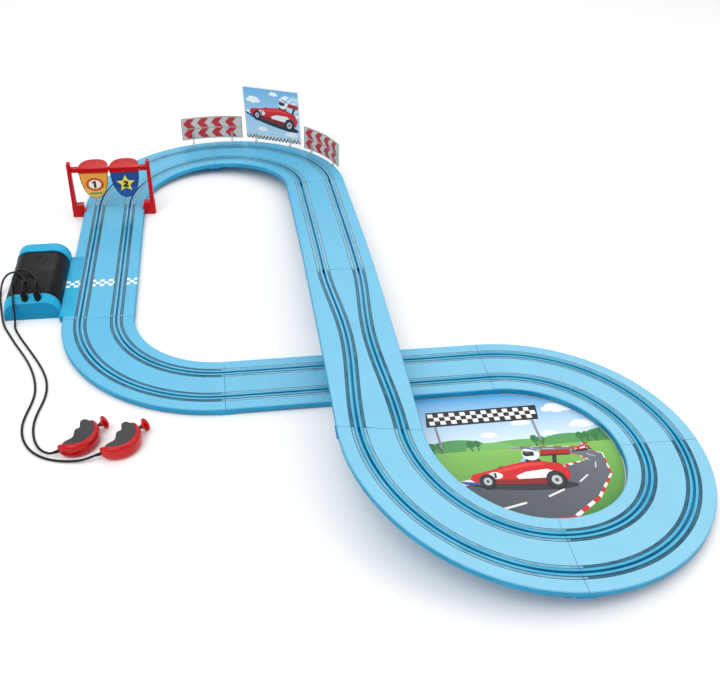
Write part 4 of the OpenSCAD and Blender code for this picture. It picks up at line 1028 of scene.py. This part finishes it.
class TRACKSET_OT_finishes(bpy.types.Operator):
    """Gives every frame node that shows the material of its finish"""
    bl_idname = "trackset.finishes"
    bl_label = "Finishes"

    def execute(self, context):
        for part in frame["record"]["subparts"]:
            piece = NODES[part["node"]]
            # the rails of four pieces take the darker steel
            finish = "dark_rail" if part["node"] in DARK_RAILS else part["material_slot"]
            for material_slot in piece.material_slots:
                material_slot.material = MATERIALS[finish]
        return {"FINISHED"}


class TRACKSET_OT_lanes(bpy.types.Operator):
    """Lines the slots with painted shade, paints shadow lines beside the rails, and sets contact tabs where the rails
    of two pieces meet
    """
    bl_idname = "trackset.lanes"
    bl_label = "Lanes"

    def execute(self, context):
        # Cross-sections round a slot: a channel in it whose darker teal is painted shade, the raised ribs beside it,
        # and dark lines at both edges of each rail that are painted shadow in their grooves. Each is (distance from
        # the slot's middle, height over the deck)
        shade_channel = [[(-1.83, -5.1), (1.83, -5.1), (1.83, -4.8), (-1.83, -4.8)]]
        ribs, lines = [], []
        for side in (-1, 1):
            for sections, near, far, low, high in (
                    (shade_channel, 1.6, 1.83, -4.85, 0.43), (ribs, 1.7, 4.75, 0.3, 0.44),
                    (lines, 4.55, 5.05, 0.3, 0.47), (lines, 8.1, 8.75, -0.1, 0.04)):
                sections.append([(side * near, low), (side * far, low), (side * far, high), (side * near, high)])
        # the dark lines beside the rails are painted shadow in their grooves, and the slots' channel is painted shade
        for name, sections, finish in (("slot_shade_lining", shade_channel, "lining"), ("slot_ribs", ribs, "rib"),
                                       ("rail_edge_shadows", lines, "seam")):
            bm = bmesh.new()
            for i, lane, section in product(range(len(PATH)), (-1, 1), sections):
                inset = JOINT_CLEAR / piece_length(i)
                shares = [inset + (1 - 2 * inset) * k / STRIP_STEPS for k in range(STRIP_STEPS + 1)]
                skin(bm, [[deck_point(i, t, lane * lane_offset(i, t) + x, h) for x, h in section] for t in shares])
            strip = from_bmesh(name, outward(bm), MATERIALS[finish], 30)
            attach(strip, ROOT)

        outline = ((-1.1, 0.3), (1.1, 0.3), (1.1, 3.4), (0.6, 4.2), (-0.6, 4.2), (-1.1, 3.4))
        bm = bmesh.new()
        for i, lane, rail in product(range(len(PATH)), (-1, 1), (-RAIL_OFFSET, RAIL_OFFSET)):
            skin(bm, [[deck_point(i, y / piece_length(i), lane * LANE + rail + x, height) for x, y in outline]
                      for height in (-0.1, 0.22)])
        tabs = from_bmesh("rail_contact_tabs", outward(bm), MATERIALS["rail"])
        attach(tabs, ROOT)
        return {"FINISHED"}


class TRACKSET_OT_housing(bpy.types.Operator):
    """Rounds the battery housing and its lid, and adds the lid's ribs and screw"""
    bl_idname = "trackset.housing"
    bl_label = "Battery housing"

    def execute(self, context):
        shell = rounded_copy("battery_housing", "battery_housing_shell", 0.7, MATERIALS["housing"])
        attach(shell, ROOT)
        lid = rounded_copy("battery_lid", "battery_lid_shell", 0.6, MATERIALS["black_plastic"])
        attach(lid, ROOT)

        low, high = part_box("battery_lid")
        left, right, top = low.x + 19.2 * MM, high.x - 21 * MM, high.z
        start, end = low.y + 4 * MM, high.y - 4 * MM
        rib = [(-0.7, 0), (0.7, 0), (0.45, 0.4), (-0.45, 0.4)]

        def rib_bar(x, z):
            # one rib over the length of the lid, sunk 0.1 mm into it
            return [[Vector((x + dx * MM, y, z + (dz - 0.1) * MM)) for dx, dz in rib] for y in (start, end)]

        count = 7
        ribs = repeated("lid_ribs", loft(rib_bar(left, top)), MATERIALS["black_plastic"], count,
                        step=((right - left) / (count - 1), 0, 0))
        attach(ribs, ROOT)
        # the ribs go on round the lid's two shoulders, 14 degrees apart
        for side, edge, radius, turn in (("left", low.x, 18.6, -1), ("right", high.x, 20.5, 1)):
            centre = Vector((edge - turn * radius * MM, 0, top - radius * MM))
            angle = math.radians(turn * 14)
            first = Matrix.Translation(centre) @ Matrix.Rotation(angle, 4, "Y") @ Matrix.Translation(-centre)
            bm = loft([[first @ p for p in ring] for ring in rib_bar(centre.x, top)])
            curved = repeated(f"lid_ribs_{side}", bm, MATERIALS["black_plastic"], 5, turn=(0, angle, 0), pivot=centre)
            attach(curved, ROOT)

        middle = Vector(((left + right) / 2, high.y - 12 * MM, top))
        profile = [(-0.2, 3.6), (0.35, 3.6), (0.5, 3.4), (0.5, 2.5), (0.1, 2.4), (0.1, 0.2)]
        collar = from_bmesh("lid_screw_collar", lathe(profile, middle, UP), MATERIALS["black_plastic"], 30)
        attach(collar, ROOT)
        profile = [(0.0, 2.3), (0.35, 2.3), (0.62, 1.9), (0.75, 1.2), (0.78, 0.2)]
        head = from_bmesh("lid_screw", lathe(profile, middle, UP, 32), MATERIALS["dark_screw"], 30)
        # a cross 3 mm wide, with arms of 0.55 mm
        for wide, deep in ((3.0, 0.55), (0.55, 3.0)):
            bm = bmesh.new()
            bmesh.ops.create_cube(bm, size=1.0)
            bmesh.ops.scale(bm, vec=(wide * MM, deep * MM, 1.2 * MM), verts=bm.verts)
            bmesh.ops.translate(bm, vec=middle + UP * 0.95 * MM, verts=bm.verts)
            cut_away(head, from_bmesh("cross", bm))
        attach(head, ROOT)
        return {"FINISHED"}


class TRACKSET_OT_controllers(bpy.types.Operator):
    """Shapes the two hand controllers: red shells, dark grips, knobs and cord reliefs"""
    bl_idname = "trackset.controllers"
    bl_label = "Hand controllers"

    def execute(self, context):
        for side, (cx, cy) in CONTROLLERS.items():
            self.shell(context.scene.controller_sizes, side, cx, cy)
            self.grip(context.scene.controller_sizes, side, cx, cy)
            self.knob(side, cx, cy)
        return {"FINISHED"}

    @staticmethod
    def plunger_line(cx, cy):
        """Where the plunger's line starts in a controller, and its direction."""
        start, end = (at(cx + dx, cy + dy, PLUNGER_Z)
                      for dx, dy in (turned(along, PLUNGER_SIDE, PLUNGER_ANGLE) for along in (0, 60)))
        return start, end - start

    @staticmethod
    def bar(sizes, angle):
        """Half the red bar's width at an angle: widest by the cord, slimmer towards the lobe."""
        taper = max(0.0, ((angle - BAR_FROM) / (BAR_TO - BAR_FROM) - 0.5) / 0.5)
        return sizes.width / MM / 2 * (1 - 0.42 * taper * taper * (3 - 2 * taper))

    def well(self, cx, cy, profile):
        """A round hole on the plunger's line."""
        return from_bmesh("well", lathe(profile, *self.plunger_line(cx, cy), 40))

    def grip(self, sizes, side, cx, cy):
        """The dark grip: a hollow for the fingers, a step and a round lobe, with its back inside the red bar."""
        (lobe_x, lobe_y), turns = LOBE, [math.radians(q) for q in range(180, 29, -15)]
        outline = GRIP_FINGERS + [(lobe_x + LOBE_RADIUS * math.cos(q), lobe_y + LOBE_RADIUS * math.sin(q))
                                  for q in turns]
        outline += [turned(BAR_OUTER - 1.3 * self.bar(sizes, angle), 0, angle) for angle in range(44, -117, -4)]
        bm = slab(outline, 2.5, 16.5, lambda x, y, z: at(cx + x, cy + y, z))
        grip = from_bmesh(f"finger_grip_{side}", bm, MATERIALS["grip"])
        bevel(grip, 1.1, 4)
        cut_away(grip, self.well(cx, cy, [(1.5, 4.0), (16, 4.0), (16, 2.15), (60, 2.15)]))
        smooth(grip, 40)
        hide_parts(f"controller_grip_{side}")
        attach(grip, ROOT)

    def shell(self, sizes, side, cx, cy):
        """The bent red bar, with a parting line round its middle, and the relief where the cord leaves it."""
        half_h, rings = sizes.height / MM / 2, []
        steps, around = 64, 40
        for k in range(steps + 1):
            share = k / steps
            # the ends come together in a round nose
            bend = 0.5 - 0.5 * math.cos(math.pi * share)
            end = min(bend, 1 - bend) * 2
            swell = max(0.02, (1 - (1 - end) ** 5)) ** 0.5
            angle = BAR_FROM + (BAR_TO - BAR_FROM) * bend
            half_w = self.bar(sizes, angle)
            middle_r = BAR_OUTER - half_w
            ring = []
            for j in range(around):
                q = 2 * math.pi * j / around
                c, s = math.cos(q), math.sin(q)
                r = half_w * math.copysign(abs(c) ** 0.8, c) * swell
                z = half_h * math.copysign(abs(s) ** 0.8, s) * (0.25 + 0.75 * swell)
                if j % (around // 2) == 0:
                    r -= math.copysign(sizes.groove / MM, c)
                dx, dy = turned(middle_r + r, 0, angle)
                ring.append(at(cx + dx, cy + dy, half_h + z))
            rings.append(ring)
        shell = from_bmesh(f"controller_shell_{side}", loft(rings), MATERIALS["red_plastic"])
        cut_away(shell, self.well(cx, cy, [(0, 2.15), (25.5, 2.15), (25.5, 3.65), (60, 3.65)]))
        smooth(shell, 38)
        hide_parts(f"controller_base_{side}", f"controller_cover_{side}")
        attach(shell, ROOT)

        # the relief starts 1.5 mm inside the bar
        gx, gy = turned(-1.5, 0, GLAND_ANGLE)
        start = at(cx + GLAND[0] + gx, cy + GLAND[1] + gy, GLAND_Z)
        axis = Vector((*turned(5, 0, GLAND_ANGLE), 0))
        gland = from_bmesh(f"cord_relief_{side}", lathe(GLAND_RINGS, start, axis, 28), MATERIALS["cord"], 30)
        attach(gland, ROOT)

    def knob(self, side, cx, cy):
        """The round red knob on the plunger: a neck, a flare and a low dome."""
        bm = lathe(KNOB_RINGS, *self.plunger_line(cx, cy), 56)
        knob = from_bmesh(f"plunger_knob_{side}_cap", bm, MATERIALS["red_plastic"], 50)
        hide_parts(f"plunger_knob_{side}")
        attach(knob, f"plunger_{side}")


class TRACKSET_OT_gantry(bpy.types.Operator):
    """Rounds the gantry and its spinners, and prints the shields"""
    bl_idname = "trackset.gantry"
    bl_label = "Gantry"

    def execute(self, context):
        for name, width in (("gantry_posts", 0.9), ("gantry_bar", 0.5)):
            piece = rounded_copy(name, f"{name}_moulding", width, MATERIALS["gantry"])
            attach(piece, ROOT)
        for side, sign, value, slot_name in (("left", -1, 1, "shield_orange"), ("right", 1, 2, "shield_navy")):
            hood = rounded_copy(f"spinner_hood_{side}", f"hood_{side}_moulding", 1.2, MATERIALS["hood"], segments=4)
            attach(hood, f"spinner_{side}")
            shield = rounded_copy(f"spinner_shield_{side}", f"shield_{side}_plate", 0.35, MATERIALS[slot_name])
            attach(shield, f"spinner_{side}")
            # the print stops 0.4 mm inside the shield's outline, which hangs 4.05 mm under the bar's middle
            outline, top, x = half_oval(21.8, 43.6), BAR_Z - 4.05 - 0.4, sign * SPINNER_X
            for face, y, right, out in (("front", GANTRY_Y, EAST, -NORTH), ("back", GANTRY_Y + 2.6, -EAST, NORTH)):
                print_sheet(f"shield_{side}_{face}", shield_picture(value), outline, at(x, y, top), right, UP, out,
                            f"spinner_{side}")
        return {"FINISHED"}


class TRACKSET_OT_panels(bpy.types.Operator):
    """Prints the billboard and sets the chevrons on the two curved panels"""
    bl_idname = "trackset.panels"
    bl_label = "Panels"

    def execute(self, context):
        sizes = context.scene.panel_sizes
        # Screen-printed inks: thin, even films with a flat, soft shine
        red = surface("Red_Screen_Ink", ("#c3222a", "#d4383e"), (0.4, 0.5), 1.0, 0.02)
        grey = surface("Grey_Screen_Ink", ("#8f8880", "#a8a29a"), (0.45, 0.55), 1.0, 0.02)
        radius, height = RADIUS + HALF_WIDTH + PANEL_OFF, PANEL_HEIGHT
        for side, first, span, low_first, low_last in PANELS:
            count = sizes.chevrons
            pitch = span / (count + 0.35)
            climb = (low_last - low_first) / span

            def on_panel(x, y, out, a0=first, z0=low_first, rise=climb):
                # x runs clockwise along the panel, y up it and out towards the infield
                a = math.radians(a0) - x / radius
                lift = z0 + rise * math.degrees(x / radius) + y
                r = radius - out
                return at(RADIUS + r * math.cos(a), 3 * RADIUS + r * math.sin(a), lift)

            # two chevrons, one over the other, are repeated along the panel: each goes 8 mm across and back
            x0, arm, half = math.radians(pitch) * radius * 0.12, sizes.arm / MM, 8.6
            column = bmesh.new()
            for foot in (2.2, height / 2 + 1.2):
                points = [(x0, foot + half), (x0 + 8, foot + 2 * half), (x0 + 8 + arm, foot + 2 * half),
                          (x0 + arm, foot + half), (x0 + 8 + arm, foot), (x0 + 8, foot)]
                join(column, slab(points, -0.2, 0.3, on_panel))
            chevrons = repeated(f"chevrons_{side}", column, red, count, step=(0, 0, climb * pitch * MM),
                                turn=(0, 0, -math.radians(pitch)), pivot=at(RADIUS, 3 * RADIUS))
            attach(chevrons, ROOT)

            # a grey line 1 mm wide round the panel and along its middle, in lengths that follow the curve
            length, lengths = math.radians(span) * radius, 16
            blocks = [(length * k / lengths, y, length * (k + 1) / lengths, y + 1.0, 0.2)
                      for y in (0.0, height - 1.0, height / 2 - 0.5) for k in range(lengths)]
            blocks += [(x, 0, x + 1.0, height, 0.22) for x in (0.0, length - 1.0)]
            lines = bmesh.new()
            for x0, y0, x1, y1, thick in blocks:
                join(lines, slab([(x0, y0), (x1, y0), (x1, y1), (x0, y1)], -0.1, thick, on_panel))
            border = from_bmesh(f"panel_border_{side}", lines, grey)
            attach(border, ROOT)

        a, tilt, wide, tall = math.radians(BOARD_ANGLE), math.radians(BOARD_TILT), BOARD_WIDE, BOARD_TALL
        radial = Vector((math.cos(a), math.sin(a), 0))
        tangent = Vector((-math.sin(a), math.cos(a), 0))
        right = -(tangent * math.cos(tilt) - UP * math.sin(tilt))
        up = tangent * math.sin(tilt) + UP * math.cos(tilt)
        foot = at(RADIUS, 3 * RADIUS, BOARD_FOOT) + radial * (RADIUS + HALF_WIDTH + BOARD_OFF) * MM
        outline = [(-wide / 2, 0), (wide / 2, 0), (wide / 2, tall), (-wide / 2, tall)]
        print_sheet("billboard_print", billboard_picture(wide, tall), outline, foot, right, up, -radial, ROOT)
        return {"FINISHED"}


class TRACKSET_OT_infield(bpy.types.Operator):
    """Prints the card inside the loop"""
    bl_idname = "trackset.infield"
    bl_label = "Infield card"

    def execute(self, context):
        radius = RADIUS - HALF_WIDTH - CARD_MARGIN
        outline = [turned(radius, 0, q) for q in range(180, 451, 3)] + [(-radius, radius)]
        print_sheet("infield_print", infield_picture(), outline, at(3 * RADIUS, -RADIUS, CARD_TOP), EAST, NORTH, UP,
                    ROOT)
        return {"FINISHED"}


class TRACKSET_PT_sidebar(bpy.types.Panel):
    """The set's operators and sizes"""
    bl_label = "Slot car track set"
    bl_idname = "TRACKSET_PT_sidebar"
    bl_space_type = "VIEW_3D"
    bl_region_type = "UI"
    bl_category = "Track Set"

    def draw(self, context):
        for operator in OPERATORS:
            self.layout.operator(operator.bl_idname)
        for group in GROUPS:
            box = self.layout.box()
            values = getattr(context.scene, group)
            for name in values.__annotations__:
                box.prop(values, name)


GROUPS = {"track_finish": TrackFinish, "controller_sizes": ControllerSizes, "panel_sizes": PanelSizes,
          "stage_sizes": StageSizes}
OPERATORS = (TRACKSET_OT_stage, TRACKSET_OT_cords, TRACKSET_OT_finishes, TRACKSET_OT_lanes, TRACKSET_OT_housing,
             TRACKSET_OT_controllers, TRACKSET_OT_gantry, TRACKSET_OT_panels, TRACKSET_OT_infield)


def register():
    """Adds the set's groups, operators and panel."""
    for name, group in GROUPS.items():
        bpy.utils.register_class(group)
        setattr(bpy.types.Scene, name, PointerProperty(type=group))
    for operator in OPERATORS:
        bpy.utils.register_class(operator)
    bpy.utils.register_class(TRACKSET_PT_sidebar)


def unregister():
    """Removes what register added."""
    bpy.utils.unregister_class(TRACKSET_PT_sidebar)
    for operator in reversed(OPERATORS):
        bpy.utils.unregister_class(operator)
    for name, group in reversed(GROUPS.items()):
        delattr(bpy.types.Scene, name)
        bpy.utils.unregister_class(group)


def main():
    """Makes the set's looks round the frame."""
    register()
    make_materials()
    for operator in OPERATORS:
        group, name = operator.bl_idname.split(".")
        getattr(getattr(bpy.ops, group), name)()


if __name__ == "__main__":
    main()
